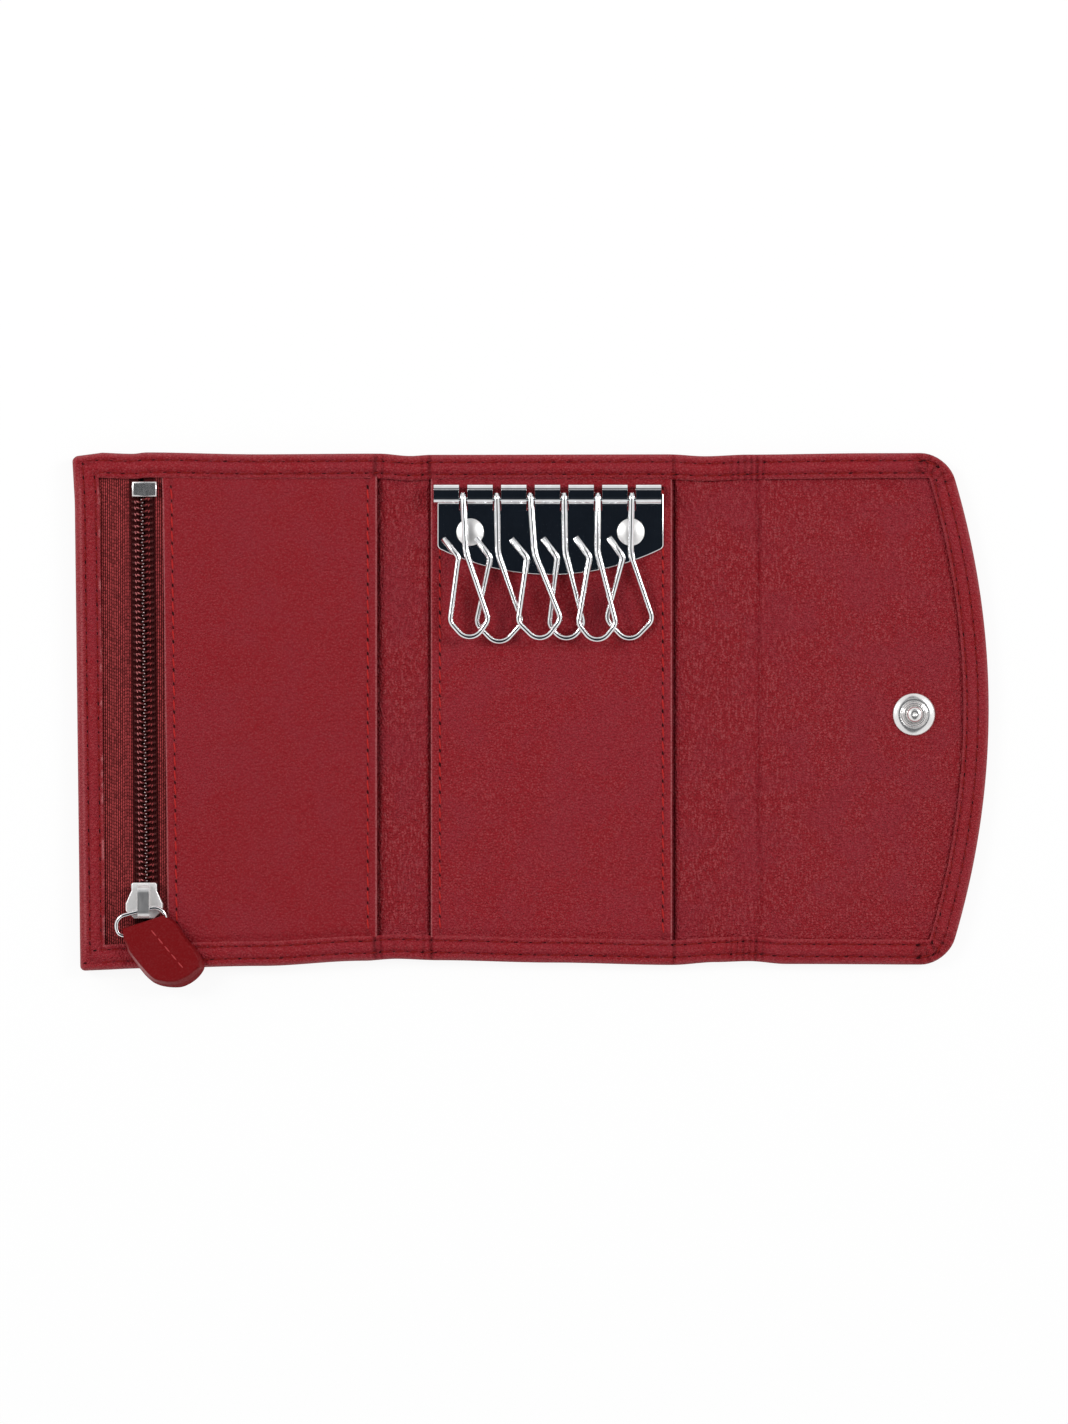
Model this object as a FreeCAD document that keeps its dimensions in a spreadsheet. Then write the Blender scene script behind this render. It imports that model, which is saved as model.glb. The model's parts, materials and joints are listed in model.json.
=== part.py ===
"""A trifold leather key case, lying open: a rail of six key hooks on the middle panel, a zipped coin
pocket on the left panel, and a flap with a snap on the right.

Millimetres. The origin is the middle of the centre panel's back face, +X points to the flap, +Y to the
key rail, +Z out of the lining. The outer leather is one skin in the real case. Here it is parted along
its four fold lines, so that every panel can turn.
"""

import FreeCAD
import Part
import Sketcher
import math
import os

Vector = FreeCAD.Vector
TOUCH = 1e-4

SIZES = [
    ("case_height", 110.0, "top edge to bottom edge"),
    ("centre_width", 51.8, "between the two inner fold lines"),
    ("left_spine_width", 10.6, "between the two left fold lines"),
    ("left_panel_width", 64.3, "left outer fold line to the free edge"),
    ("right_spine_width", 18.3, "between the two right fold lines"),
    ("flap_length", 39.9, "right outer fold line to the flap's corners"),
    ("flap_bulge", 8.9, "how far the flap's end bows out past its corners"),
    ("flap_corner", 5.0, "radius of the flap's corners"),
    ("fold_gap", 0.1, "each panel stops this short of its fold line"),
    ("pocket_setback", 0.6, "the thicker pocket panel stops this short of its fold line"),
    ("left_fold_angle", 60.0, "how far the left spine leans when shut, degrees"),
    ("shut_clearance", 0.4, "between the shut flap's hem and the panel under it"),
    ("cover_leather", 1.1, "outer leather"),
    ("lining_leather", 0.8, "inner leather, and the board of the centre panel"),
    ("hem_leather", 0.9, "outer leather where it is turned over the edge"),
    ("edge_wall", 1.0, "outer leather standing in the turned edge"),
    ("edge_round", 1.1, "rounding of the turned edge"),
    ("hem_width", 5.4, "turned hem along the top and bottom"),
    ("left_hem_width", 6.1, "turned hem along the left edge"),
    ("flap_hem_width", 5.5, "turned hem along the flap's end"),
    ("slip", 0.05, "room round a piece that is sewn or pressed in"),
    ("key_panel_leather", 1.0, "raised panel under the key rail"),
    ("key_panel_inset", 0.3, "raised panel's side edge to the inner fold line"),
    ("key_panel_round", 0.45, "rounding of the raised panel's side edges"),
    ("pocket_cloth", 0.3, "cloth at the back of the coin pocket"),
    ("pocket_depth", 0.9, "room inside the coin pocket"),
    ("pocket_seam", 4.4, "seam allowance round the pocket cloth"),
    ("tape_cloth", 0.4, "zip tape, and the cloth behind the pocket front"),
    ("pocket_front_leather", 0.9, "leather front of the coin pocket"),
    ("pocket_front_round", 0.4, "rounding of the pocket front's side edges"),
    ("zip_from_edge", 14.4, "left edge to the zip's middle line"),
    ("zip_slit", 1.2, "between the two tapes"),
    ("zip_show", 4.4, "zip's middle line to the pocket front's edge"),
    ("zip_under", 4.0, "tape hidden under the pocket front"),
    ("coil_half_width", 2.65, "zip's middle line to the back of the coil"),
    ("coil_rise", 1.0, "coil above the tape"),
    ("coil_cord", 1.25, "width of the part of the coil that is sewn to the tape"),
    ("tooth_pitch", 1.3, "spacing of the teeth on one side"),
    ("tooth_thick", 0.5, "one tooth along the zip"),
    ("tooth_past", 0.45, "how far a tooth reaches past the middle line"),
    ("tooth_sink", 0.15, "top of a tooth below the top of the coil's cord"),
    ("chain_from_top", 9.6, "case's top edge to the coils' upper end"),
    ("chain_from_bottom", 14.5, "case's bottom edge to the coils' lower end"),
    ("bottom_stop_width", 5.35, "metal stop across the zip's upper end"),
    ("bottom_stop_length", 3.3, "the same stop along the zip"),
    ("bottom_stop_rise", 1.5, "the same stop above the tape"),
    ("stop_round", 0.5, "rounding of the zip's stops"),
    ("top_stop_width", 1.8, "one of the two stops at the zip's lower end"),
    ("top_stop_length", 2.0, "the same stop along the zip"),
    ("top_stop_rise", 0.8, "the same stop above the tape"),
    ("top_stop_from_bottom", 9.7, "case's bottom edge to the upper end of those stops"),
    ("slider_from_bottom", 18.6, "case's bottom edge to the slider's upper end"),
    ("slider_length", 7.6, "slider along the zip"),
    ("slider_neck", 5.4, "slider's width at its upper end"),
    ("slider_neck_length", 1.7, "straight stretch at the upper end"),
    ("slider_shoulder", 7.8, "slider's greatest width"),
    ("slider_shoulder_from", 4.4, "upper end to the shoulders"),
    ("slider_shoulder_length", 1.6, "straight stretch at the shoulders"),
    ("slider_nose", 4.2, "slider's width at its lower end"),
    ("slider_plate", 0.7, "thickness of the slider's two plates"),
    ("slider_edge", 0.25, "rounding of the slider's upper edge"),
    ("slider_run", 0.1, "between the lower plate and the tape"),
    ("slider_over", 0.2, "between the coil and the upper plate"),
    ("slider_post", 0.9, "width of the post that joins the two plates"),
    ("slider_post_length", 2.4, "the same post along the zip"),
    ("slider_post_back", 0.5, "the same post from the slider's lower end"),
    ("slider_wing", 0.8, "width of the two side walls under the upper plate"),
    ("bail_width", 2.4, "bridge that holds the pull"),
    ("bail_wall", 0.8, "thickness of the bridge"),
    ("bail_rise", 2.2, "bridge above the upper plate"),
    ("bail_start", 0.5, "slider's upper end to the bridge"),
    ("bail_length", 7.0, "bridge along the zip"),
    ("bail_round", 1.6, "rounding of the bridge's two bends"),
    ("link_wire", 0.9, "wire of the pull's link"),
    ("link_span", 4.2, "between the two bars of the link"),
    ("link_width", 11.5, "link from side to side"),
    ("link_corner", 1.4, "lower bends of the link's wire"),
    ("link_upper_corner", 2.4, "upper bends of the link's wire"),
    ("link_yaw", 14.2, "turn of the link and tab about the vertical, degrees"),
    ("link_shift", 1.2, "how far the link has slid to the left in the bridge"),
    ("link_bar_back", 5.8, "slider's upper end to the link's upper bar"),
    ("link_bar_height", 5.4, "height of the link's upper bar"),
    ("link_slope", 5.5, "how far the link slopes down, degrees"),
    ("tab_thick", 2.4, "leather pull tab, two layers"),
    ("tab_bore", 1.1, "eye of the tab round the link's bar"),
    ("tab_nose", 1.4, "link's bar to the tab's folded edge"),
    ("tab_left", 4.1, "link's middle to the tab's left corner"),
    ("tab_right", 4.3, "link's middle to the tab's right corner"),
    ("tab_right_at", 1.4, "tab's right side, where it clears the link"),
    ("tab_length", 14.0, "link's bar to the tab's end"),
    ("tab_end_left", 1.3, "tab's end, left corner to the right of the link's middle"),
    ("tab_end_right", 8.9, "tab's end, right corner to the right of the link's middle"),
    ("tab_side_left", 4.4, "tab's left side, how far it bows out"),
    ("tab_side_left_at", 2.6, "tab's left side, where it turns"),
    ("tab_side_right", 11.5, "tab's right side, how far it bows out"),
    ("tab_side_right_at", 9.2, "tab's right side, where it turns"),
    ("tab_corner", 2.2, "rounding of the tab's corners"),
    ("rail_shift", -0.85, "middle of the row of knuckles from the case's middle"),
    ("rail_from_top", 9.0, "case's top edge to the middle of the knuckles"),
    ("knuckle_pitch", 7.14, "spacing of the knuckles and hooks"),
    ("knuckle_gap", 1.8, "slot between two knuckles"),
    ("knuckle_tall", 4.4, "rolled knuckle along the panel"),
    ("knuckle_deep", 3.4, "rolled knuckle out of the panel"),
    ("rail_metal", 0.6, "sheet metal of the rail's rolled edge"),
    ("plate_metal", 0.7, "sheet metal of the rail's plate"),
    ("plate_width", 48.1, "rail plate across"),
    ("plate_shift", 0.65, "plate's middle from the knuckles' middle"),
    ("plate_drop", 11.4, "middle of the knuckles to the lower end of the plate's sides"),
    ("plate_bow", 5.7, "how far the plate's lower edge bows down"),
    ("plate_corner", 1.2, "rounding of the plate's lower corners"),
    ("plate_edge", 0.3, "rounding of the plate's upper edge"),
    ("slot_below", 2.3, "slot in the plate below the pin"),
    ("pin_diameter", 0.8, "pin through the knuckles"),
    ("pin_play", 0.1, "pin above the inside of the rolled edge"),
    ("pin_short", 0.8, "pin's ends inside the rail's ends"),
    ("rivet_spacing", 34.1, "between the two rivets"),
    ("rivet_drop", 8.0, "middle of the knuckles to the rivets"),
    ("rivet_head", 6.0, "rivet's domed head"),
    ("rivet_dome", 0.9, "head above the plate"),
    ("rivet_shank", 2.4, "rivet through the panel"),
    ("washer_width", 5.6, "washer behind the rivet"),
    ("washer_thick", 0.35, "the same washer"),
    ("hook_wire", 1.2, "wire of the key hooks"),
    ("hook_play", 0.05, "between a hook's eye and the pin"),
    ("hook_wrap", 255.0, "how far the eye goes round the pin, degrees"),
    ("hook_shank", 11.6, "pin to where the loop opens"),
    ("hook_half_width", 5.0, "loop's corners to the shank's line"),
    ("hook_shoulder", 25.6, "pin to the loop's corners"),
    ("hook_length", 30.3, "pin to the loop's lower point"),
    ("hook_close", 1.6, "returning leg to the shank's line where they nearly meet"),
    ("hook_close_at", 12.3, "pin to that place"),
    ("hook_tail_out", 4.65, "tail's tip to the shank's line"),
    ("hook_tail_at", 8.1, "pin to the tail's tip"),
    ("hook_open_bend", 8.0, "bend where the loop opens"),
    ("hook_side_bend", 3.6, "bend at the loop's corners"),
    ("hook_end_bend", 4.2, "bend at the loop's lower point"),
    ("hook_tail_bend", 1.6, "bend into the tail"),
    ("upper_slope", -0.3, "droop of the hooks that lie on top, degrees"),
    ("lower_slope", 4.0, "droop of the hooks that lie underneath, degrees"),
    ("lean_1", 2.9, "sideways lean of the first hook, degrees"),
    ("lean_2", 1.0, "second hook"),
    ("lean_3", 4.2, "third hook"),
    ("lean_4", 1.0, "fourth hook"),
    ("lean_5", -0.4, "fifth hook"),
    ("lean_6", -0.9, "sixth hook"),
    ("stud_from_fold", 32.9, "right outer fold line to the snap's stud"),
    ("stud_height", -0.7, "stud above the case's middle"),
    ("stud_flange", 9.0, "stud's flange"),
    ("stud_flange_thick", 0.6, "the same flange beside the ring"),
    ("stud_rim", 0.25, "the same flange at its edge"),
    ("stud_ring", 5.4, "raised ring on the flange"),
    ("stud_ring_rise", 0.5, "the same ring"),
    ("stud_groove", 0.2, "groove round the ring, and the slant of its edges"),
    ("stud_neck", 3.0, "stud's neck"),
    ("stud_bulb", 3.5, "stud's bulb, the widest place"),
    ("stud_tall", 2.9, "stud above the lining"),
    ("stud_dimple", 0.9, "hollow in the stud's tip"),
    ("stud_dimple_deep", 0.5, "the same hollow"),
    ("cap_width", 9.6, "cap on the flap's outside"),
    ("cap_thick", 0.6, "the same cap"),
    ("cap_post", 2.4, "cap's post through the leather"),
    ("socket_width", 8.4, "snap's socket on the left panel's outside"),
    ("socket_thick", 0.55, "the same socket"),
    ("socket_bore", 3.9, "hole that takes the stud"),
    ("eyelet_wall", 0.5, "barrel of the socket's eyelet"),
    ("eyelet_flange", 7.2, "eyelet's flange inside the pocket"),
    ("eyelet_flange_thick", 0.35, "the same flange"),
]

doc = FreeCAD.newDocument("key_case")
sheet = doc.addObject("Spreadsheet::Sheet", "sizes")


class Size:
    """A number that keeps the sheet expression behind it, so that a feature can be bound to it."""

    def __init__(self, value, text):
        self.value = value
        self.text = text

    @staticmethod
    def of(thing):
        return thing if isinstance(thing, Size) else Size(float(thing), f"({float(thing)})")

    def __add__(self, other):
        other = Size.of(other)
        return Size(self.value + other.value, f"({self.text} + {other.text})")

    def __sub__(self, other):
        other = Size.of(other)
        return Size(self.value - other.value, f"({self.text} - {other.text})")

    def __mul__(self, other):
        other = Size.of(other)
        return Size(self.value * other.value, f"({self.text} * {other.text})")

    def __truediv__(self, other):
        other = Size.of(other)
        return Size(self.value / other.value, f"({self.text} / {other.text})")

    def __neg__(self):
        return Size(-self.value, f"(0 - {self.text})")

    def __radd__(self, other):
        return Size.of(other) + self

    def __rsub__(self, other):
        return Size.of(other) - self

    def __rmul__(self, other):
        return Size.of(other) * self

    def root(self):
        return Size(math.sqrt(self.value), f"sqrt({self.text})")

    def sine(self):
        return Size(math.sin(math.radians(self.value)), f"sin({self.text})")

    def cosine(self):
        return Size(math.cos(math.radians(self.value)), f"cos({self.text})")


class Named:
    """The sheet's sizes, each as an attribute."""


for row, (alias, value, note) in enumerate(SIZES, start=1):
    sheet.set(f"A{row}", str(value))
    sheet.set(f"B{row}", note)
    sheet.setAlias(f"A{row}", alias)
    setattr(Named, alias, Size(value, f"sizes.{alias}"))
doc.recompute()
d = Named


# Lines and levels that several pieces share
half = d.case_height / 2
left_inner_fold = -d.centre_width / 2
left_outer_fold = left_inner_fold - d.left_spine_width
left_edge = left_outer_fold - d.left_panel_width
right_inner_fold = d.centre_width / 2
right_outer_fold = right_inner_fold + d.right_spine_width
pocket_end = left_outer_fold - d.pocket_setback

lining_top = d.cover_leather + d.lining_leather
hem_top = lining_top + d.hem_leather
key_panel_top = lining_top + d.key_panel_leather
pocket_floor = d.cover_leather + d.pocket_cloth
tape_bottom = pocket_floor + d.pocket_depth
tape_top = tape_bottom + d.tape_cloth
pocket_top = tape_top + d.pocket_front_leather
inside_half = half - d.edge_wall - d.slip

zip_line = left_edge + d.zip_from_edge
front_edge = zip_line + d.zip_show
coil_top = tape_top + d.coil_rise
chain_top = half - d.chain_from_top
chain_bottom = d.chain_from_bottom - half
slider_top = d.slider_from_bottom - half

plate_top = key_panel_top + d.plate_metal
knuckle_level = key_panel_top + d.knuckle_deep / 2
plate_middle = d.rail_shift + d.plate_shift
rail_height = half - d.rail_from_top
plate_side = rail_height - d.plate_drop
rivet_height = rail_height - d.rivet_drop
pin_drop = d.knuckle_tall / 2 - d.rail_metal - d.pin_play - d.pin_diameter / 2
pin_height = rail_height - pin_drop

# Where the stud meets the left panel's outside when both sides are folded shut
left_rise = d.left_spine_width * d.left_fold_angle.sine()
shut_left_fold = left_inner_fold - d.left_spine_width * d.left_fold_angle.cosine()
flap_rise = left_rise + hem_top + d.shut_clearance
flap_reach = (d.right_spine_width * d.right_spine_width - flap_rise * flap_rise).root()
stud_x = right_outer_fold + d.stud_from_fold
shut_stud = right_inner_fold + flap_reach - d.stud_from_fold
socket_x = left_outer_fold - (shut_stud - shut_left_fold)
eyelet_outer = d.socket_bore / 2 + d.eyelet_wall

HOOKS = 6
KNUCKLES = HOOKS + 1
first_hook = d.rail_shift - (HOOKS - 1) / 2 * d.knuckle_pitch
row_width = KNUCKLES * d.knuckle_pitch - d.knuckle_gap


# Helpers for features that are bound to the sheet
def bind(thing, prop, size):
    thing.setExpression(prop, Size.of(size).text)


def new_body(label):
    body = doc.addObject("PartDesign::Body", label)
    body.Label = label
    return body


def new_sketch(body, plane, across=0, level=0):
    """A sketch on one of the body's own planes, moved along the plane's first axis and its normal."""
    sketch = body.newObject("Sketcher::SketchObject", f"{body.Name}_sketch")
    origin = next(f for f in body.Origin.OriginFeatures if f.Role == plane)
    sketch.AttachmentSupport = (origin, [""])
    sketch.MapMode = "FlatFace"
    bind(sketch, "AttachmentOffset.Base.x", across)
    bind(sketch, "AttachmentOffset.Base.z", level)
    return sketch


def place_point(sketch, geometry, point, where):
    """Ties one point of a sketch to its two distances from the sketch's origin."""
    for kind, size in zip(("DistanceX", "DistanceY"), where):
        tie_distance(sketch, kind, geometry, point, size)


def tie_distance(sketch, kind, geometry, point, size):
    size = Size.of(size)
    index = sketch.addConstraint(Sketcher.Constraint(kind, -1, 1, geometry, point, size.value))
    sketch.setExpression(f"Constraints[{index}]", size.text)


def draw_outline(sketch, corners, arc_centres=None):
    """A closed outline through the corners, anticlockwise. Sides named in arc_centres are arcs."""
    arc_centres = arc_centres or {}
    count = sketch.GeometryCount
    spots = [Vector(Size.of(x).value, Size.of(y).value, 0) for x, y in corners]
    for side, start in enumerate(spots):
        end = spots[(side + 1) % len(spots)]
        if side not in arc_centres:
            sketch.addGeometry(Part.LineSegment(start, end))
            continue
        centre = Vector(*(Size.of(c).value for c in arc_centres[side]), 0)
        spokes = [start - centre, end - centre]
        first, last = (math.atan2(spoke.y, spoke.x) for spoke in spokes)
        circle = Part.Circle(centre, Vector(0, 0, 1), spokes[0].Length)
        sketch.addGeometry(Part.ArcOfCircle(circle, first, last))
    for side, corner in enumerate(corners):
        following = count + (side + 1) % len(corners)
        sketch.addConstraint(Sketcher.Constraint("Coincident", count + side, 2, following, 1))
        place_point(sketch, count + side, 1, corner)
    for side, centre in arc_centres.items():
        chord = spots[(side + 1) % len(spots)] - spots[side]
        upright = abs(chord.y) > abs(chord.x)
        kind = "DistanceX" if upright else "DistanceY"
        tie_distance(sketch, kind, count + side, 3, centre[0] if upright else centre[1])


def draw_circle(sketch, x, y, radius):
    spot = Vector(Size.of(x).value, Size.of(y).value, 0)
    circle = sketch.addGeometry(Part.Circle(spot, Vector(0, 0, 1), radius.value))
    place_point(sketch, circle, 3, (x, y))
    index = sketch.addConstraint(Sketcher.Constraint("Radius", circle, radius.value))
    sketch.setExpression(f"Constraints[{index}]", radius.text)


def rectangle(x, y):
    return [(x[0], y[0]), (x[1], y[0]), (x[1], y[1]), (x[0], y[1])]


def pad(body, sketch, length):
    feature = body.newObject("PartDesign::Pad", f"{body.Name}_pad")
    feature.Profile = sketch
    bind(feature, "Length", length)
    body.Tip = feature
    doc.recompute()
    return feature


def pocket(body, sketch, depth):
    before = body.Shape.Volume
    feature = body.newObject("PartDesign::Pocket", f"{body.Name}_pocket")
    feature.Profile = sketch
    bind(feature, "Length", depth)
    body.Tip = feature
    doc.recompute()
    if not body.Shape.Volume < before:
        raise RuntimeError(f"{body.Label}: a pocket cut nothing")
    return feature


def pattern(body, feature, axis, length, count):
    copies = body.newObject("PartDesign::LinearPattern", f"{body.Name}_pattern")
    copies.Originals = [feature]
    origin = next(f for f in body.Origin.OriginFeatures if f.Role == axis)
    copies.Direction = (origin, [""])
    bind(copies, "Length", length)
    copies.Occurrences = count
    body.Tip = copies
    doc.recompute()
    return copies


def fillet(body, radius, chosen):
    """Rounds the edges of the body's latest feature whose box passes the test."""
    base = body.Tip
    names = [f"Edge{n}" for n, edge in enumerate(base.Shape.Edges, start=1) if chosen(edge.BoundBox)]
    if not names:
        raise RuntimeError(f"{body.Label}: no edge to round")
    feature = body.newObject("PartDesign::Fillet", f"{body.Name}_fillet")
    feature.Base = (base, names)
    bind(feature, "Radius", radius)
    body.Tip = feature
    doc.recompute()
    return feature


def near(a, b):
    return abs(a - Size.of(b).value) < TOUCH


def stands(box):
    """True for an edge that runs straight up."""
    return box.XLength < TOUCH and box.YLength < TOUCH


def slab(label, x, y, z):
    """A flat sheet as a padded rectangle."""
    body = new_body(label)
    sketch = new_sketch(body, "XY_Plane", level=z[0])
    draw_outline(sketch, rectangle(x, y))
    pad(body, sketch, Size.of(z[1]) - z[0])
    return body


def punch(body, top, depth, holes):
    """Round holes, each an x, a y and a radius, cut down from one level."""
    sketch = new_sketch(body, "XY_Plane", level=top)
    for hole in holes:
        draw_circle(sketch, *hole)
    pocket(body, sketch, depth)


def turned(label, x, y, profile, arc_centres=None):
    """A body of revolution about an upright axis, from a half section of radii and heights."""
    body = new_body(label)
    sketch = new_sketch(body, "XZ_Plane", across=x, level=-y)
    draw_outline(sketch, profile, arc_centres)
    feature = body.newObject("PartDesign::Revolution", f"{body.Name}_revolution")
    feature.Profile = sketch
    feature.ReferenceAxis = (sketch, ["V_Axis"])
    feature.Angle = 360
    body.Tip = feature
    doc.recompute()
    return body


def pair(label, piece, middle):
    """The piece and its mirror image across an upright plane, as one node of two solids."""
    twin = doc.addObject("Part::Mirroring", f"{label}_twin")
    twin.Source = piece
    twin.Normal = Vector(1, 0, 0)
    bind(twin, "Base.x", middle)
    both = doc.addObject("Part::Compound", label)
    both.Links = [piece, twin]
    piece.Label = f"{label}_one"
    both.Label = label
    return both


# The outer leather with its hems turned over the lining
def channel_cover(label, start, end):
    """A cover whose top and bottom edges are turned over, open at both fold lines."""
    body = new_body(label)
    inner = half - d.edge_wall
    lip = half - d.hem_width
    section = [
        (-half, 0), (half, 0), (half, hem_top), (lip, hem_top), (lip, lining_top), (inner, lining_top),
        (inner, d.cover_leather), (-inner, d.cover_leather), (-inner, lining_top), (-lip, lining_top),
        (-lip, hem_top), (-half, hem_top),
    ]
    sketch = new_sketch(body, "YZ_Plane", level=start)
    draw_outline(sketch, section)
    pad(body, sketch, end - start)
    fillet(body, d.edge_round, lambda box: near(abs(box.YMin), half) and near(box.YMax, box.YMin)
           and box.ZLength < TOUCH)
    return body


def left_cover():
    """The left panel's cover, turned over on three sides, with a dished seat for the snap's socket."""
    body = new_body("left_cover")
    sketch = new_sketch(body, "XY_Plane")
    draw_outline(sketch, rectangle((left_edge, pocket_end), (-half, half)))
    pad(body, sketch, pocket_top)
    fillet(body, d.edge_round, lambda box: stands(box) and near(box.XMin, left_edge))
    fillet(body, d.edge_round, lambda box: box.ZLength < TOUCH and not near(box.XMin, pocket_end))
    inside = new_sketch(body, "XY_Plane", level=tape_top)
    inner = half - d.edge_wall
    draw_outline(inside, rectangle((left_edge + d.edge_wall, pocket_end + d.fold_gap), (-inner, inner)))
    pocket(body, inside, tape_top - d.cover_leather)
    window = new_sketch(body, "XY_Plane", level=pocket_top)
    lip = half - d.hem_width
    sides = (left_edge + d.left_hem_width, pocket_end + d.fold_gap)
    draw_outline(window, rectangle(sides, (-lip, lip)))
    pocket(body, window, d.pocket_front_leather)
    punch(body, d.socket_thick, d.socket_thick, [(socket_x, d.stud_height, d.socket_width / 2 + d.slip)])
    punch(body, d.cover_leather, d.cover_leather, [(socket_x, d.stud_height, eyelet_outer + d.slip)])
    return body


def draw_flap(sketch, end_inset, side_inset, start):
    """The flap's outline, drawn in from its end and from its top and bottom."""
    bow_radius = (half * half + d.flap_bulge * d.flap_bulge) / (2 * d.flap_bulge)
    bow_centre = right_outer_fold + d.flap_length + d.flap_bulge - bow_radius
    reach = half - side_inset
    radius = bow_radius - end_inset
    corner = bow_centre + (radius * radius - reach * reach).root()
    corners = [(start, -reach), (corner, -reach), (corner, reach), (start, reach)]
    draw_outline(sketch, corners, {1: (bow_centre, Size.of(0))})


def flap_corners(box):
    return stands(box) and box.XMin > (right_outer_fold + d.fold_gap).value + TOUCH


def flap_cover():
    """The flap's cover with its bowed end, turned over on three sides, and a seat for the snap's cap."""
    body = new_body("flap_cover")
    start = right_outer_fold + d.fold_gap
    open_side = right_outer_fold
    sketch = new_sketch(body, "XY_Plane")
    draw_flap(sketch, 0, 0, start)
    pad(body, sketch, hem_top)
    fillet(body, d.flap_corner, flap_corners)
    fillet(body, d.edge_round, lambda box: box.ZLength < TOUCH and not near(box.XMax, start))
    inside = new_sketch(body, "XY_Plane", level=lining_top)
    draw_flap(inside, d.edge_wall, d.edge_wall, open_side)
    pocket(body, inside, d.lining_leather)
    window = new_sketch(body, "XY_Plane", level=hem_top)
    draw_flap(window, d.flap_hem_width, d.hem_width, open_side)
    pocket(body, window, d.hem_leather)
    punch(body, d.cap_thick, d.cap_thick, [(stud_x, d.stud_height, d.cap_width / 2 + d.slip)])
    punch(body, d.cover_leather, d.cover_leather, [(stud_x, d.stud_height, d.cap_post / 2 + d.slip)])
    return body


def covers():
    channel_cover("center_cover", left_inner_fold + d.fold_gap, right_inner_fold - d.fold_gap)
    channel_cover("left_spine_cover", left_outer_fold + d.fold_gap, left_inner_fold - d.fold_gap)
    channel_cover("right_spine_cover", right_inner_fold + d.fold_gap, right_outer_fold - d.fold_gap)
    left_cover()
    flap_cover()


# The inner leathers
def linings():
    level = (d.cover_leather, lining_top)
    inside = (-inside_half, inside_half)
    left = (left_outer_fold + d.fold_gap, left_inner_fold - d.fold_gap)
    slab("left_spine_lining", left, inside, level)
    right = (right_inner_fold + d.fold_gap, right_outer_fold - d.fold_gap)
    slab("right_spine_lining", right, inside, level)
    flap = new_body("flap_lining")
    sketch = new_sketch(flap, "XY_Plane", level=d.cover_leather)
    inset = d.edge_wall + d.slip
    draw_flap(sketch, inset, inset, right_outer_fold + d.fold_gap)
    pad(flap, sketch, d.lining_leather)
    fillet(flap, d.flap_corner - inset, flap_corners)
    punch(flap, lining_top, d.lining_leather, [(stud_x, d.stud_height, d.cap_post / 2 + d.slip)])


def rivet_holes(radius):
    return [(plate_middle + side * d.rivet_spacing / 2, rivet_height, radius) for side in (-1, 1)]


def centre_panel():
    """The board that stiffens the middle, and the raised leather panel that carries the key rail."""
    across = (left_inner_fold + d.fold_gap, right_inner_fold - d.fold_gap)
    board = slab("center_board", across, (-inside_half, inside_half), (d.cover_leather, lining_top))
    punch(board, lining_top, d.lining_leather, rivet_holes(d.rivet_shank / 2 + d.slip))
    seat = d.cover_leather + d.washer_thick
    punch(board, seat, d.washer_thick, rivet_holes(d.washer_width / 2 + d.slip))
    sides = (left_inner_fold + d.key_panel_inset, right_inner_fold - d.key_panel_inset)
    tall = half - d.hem_width - d.slip
    panel = slab("key_panel", sides, (-tall, tall), (lining_top, key_panel_top))
    fillet(panel, d.key_panel_round, lambda box: near(box.ZMin, key_panel_top) and box.XLength < TOUCH)
    punch(panel, key_panel_top, d.key_panel_leather, rivet_holes(d.rivet_shank / 2 + d.slip))


# The coin pocket and its zip
def coin_pocket():
    inside = (-inside_half, inside_half)
    start = left_edge + d.edge_wall + d.slip
    cloth = slab("pocket_lining", (start, pocket_end), inside, (d.cover_leather, tape_bottom))
    hollow = new_sketch(cloth, "XY_Plane", level=tape_bottom)
    reach = inside_half - d.pocket_seam
    draw_outline(hollow, rectangle((start + d.pocket_seam, pocket_end - d.pocket_seam), (-reach, reach)))
    pocket(cloth, hollow, d.pocket_depth)
    punch(cloth, pocket_floor, d.pocket_cloth, [(socket_x, d.stud_height, eyelet_outer + d.slip)])
    tape_level = (tape_bottom, tape_top)
    tape_end = front_edge + d.zip_under
    slab("zip_tape_left", (start, zip_line - d.zip_slit / 2), inside, tape_level)
    slab("zip_tape_right", (zip_line + d.zip_slit / 2, tape_end), inside, tape_level)
    slab("pocket_front_lining", (tape_end + d.slip, pocket_end), inside, tape_level)
    tall = half - d.hem_width - d.slip
    front = slab("pocket_front", (front_edge, pocket_end), (-tall, tall), (tape_top, pocket_top))
    fillet(front, d.pocket_front_round, lambda box: near(box.ZMin, pocket_top) and box.XLength < TOUCH)


def zip_chain():
    """The two coils, whose teeth lie half a pitch apart and so interlock."""
    lead = d.tooth_pitch / 4
    zip_half("zip_coil_left", -1, lead)
    zip_half("zip_coil_right", 1, lead + d.tooth_pitch / 2)


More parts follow.
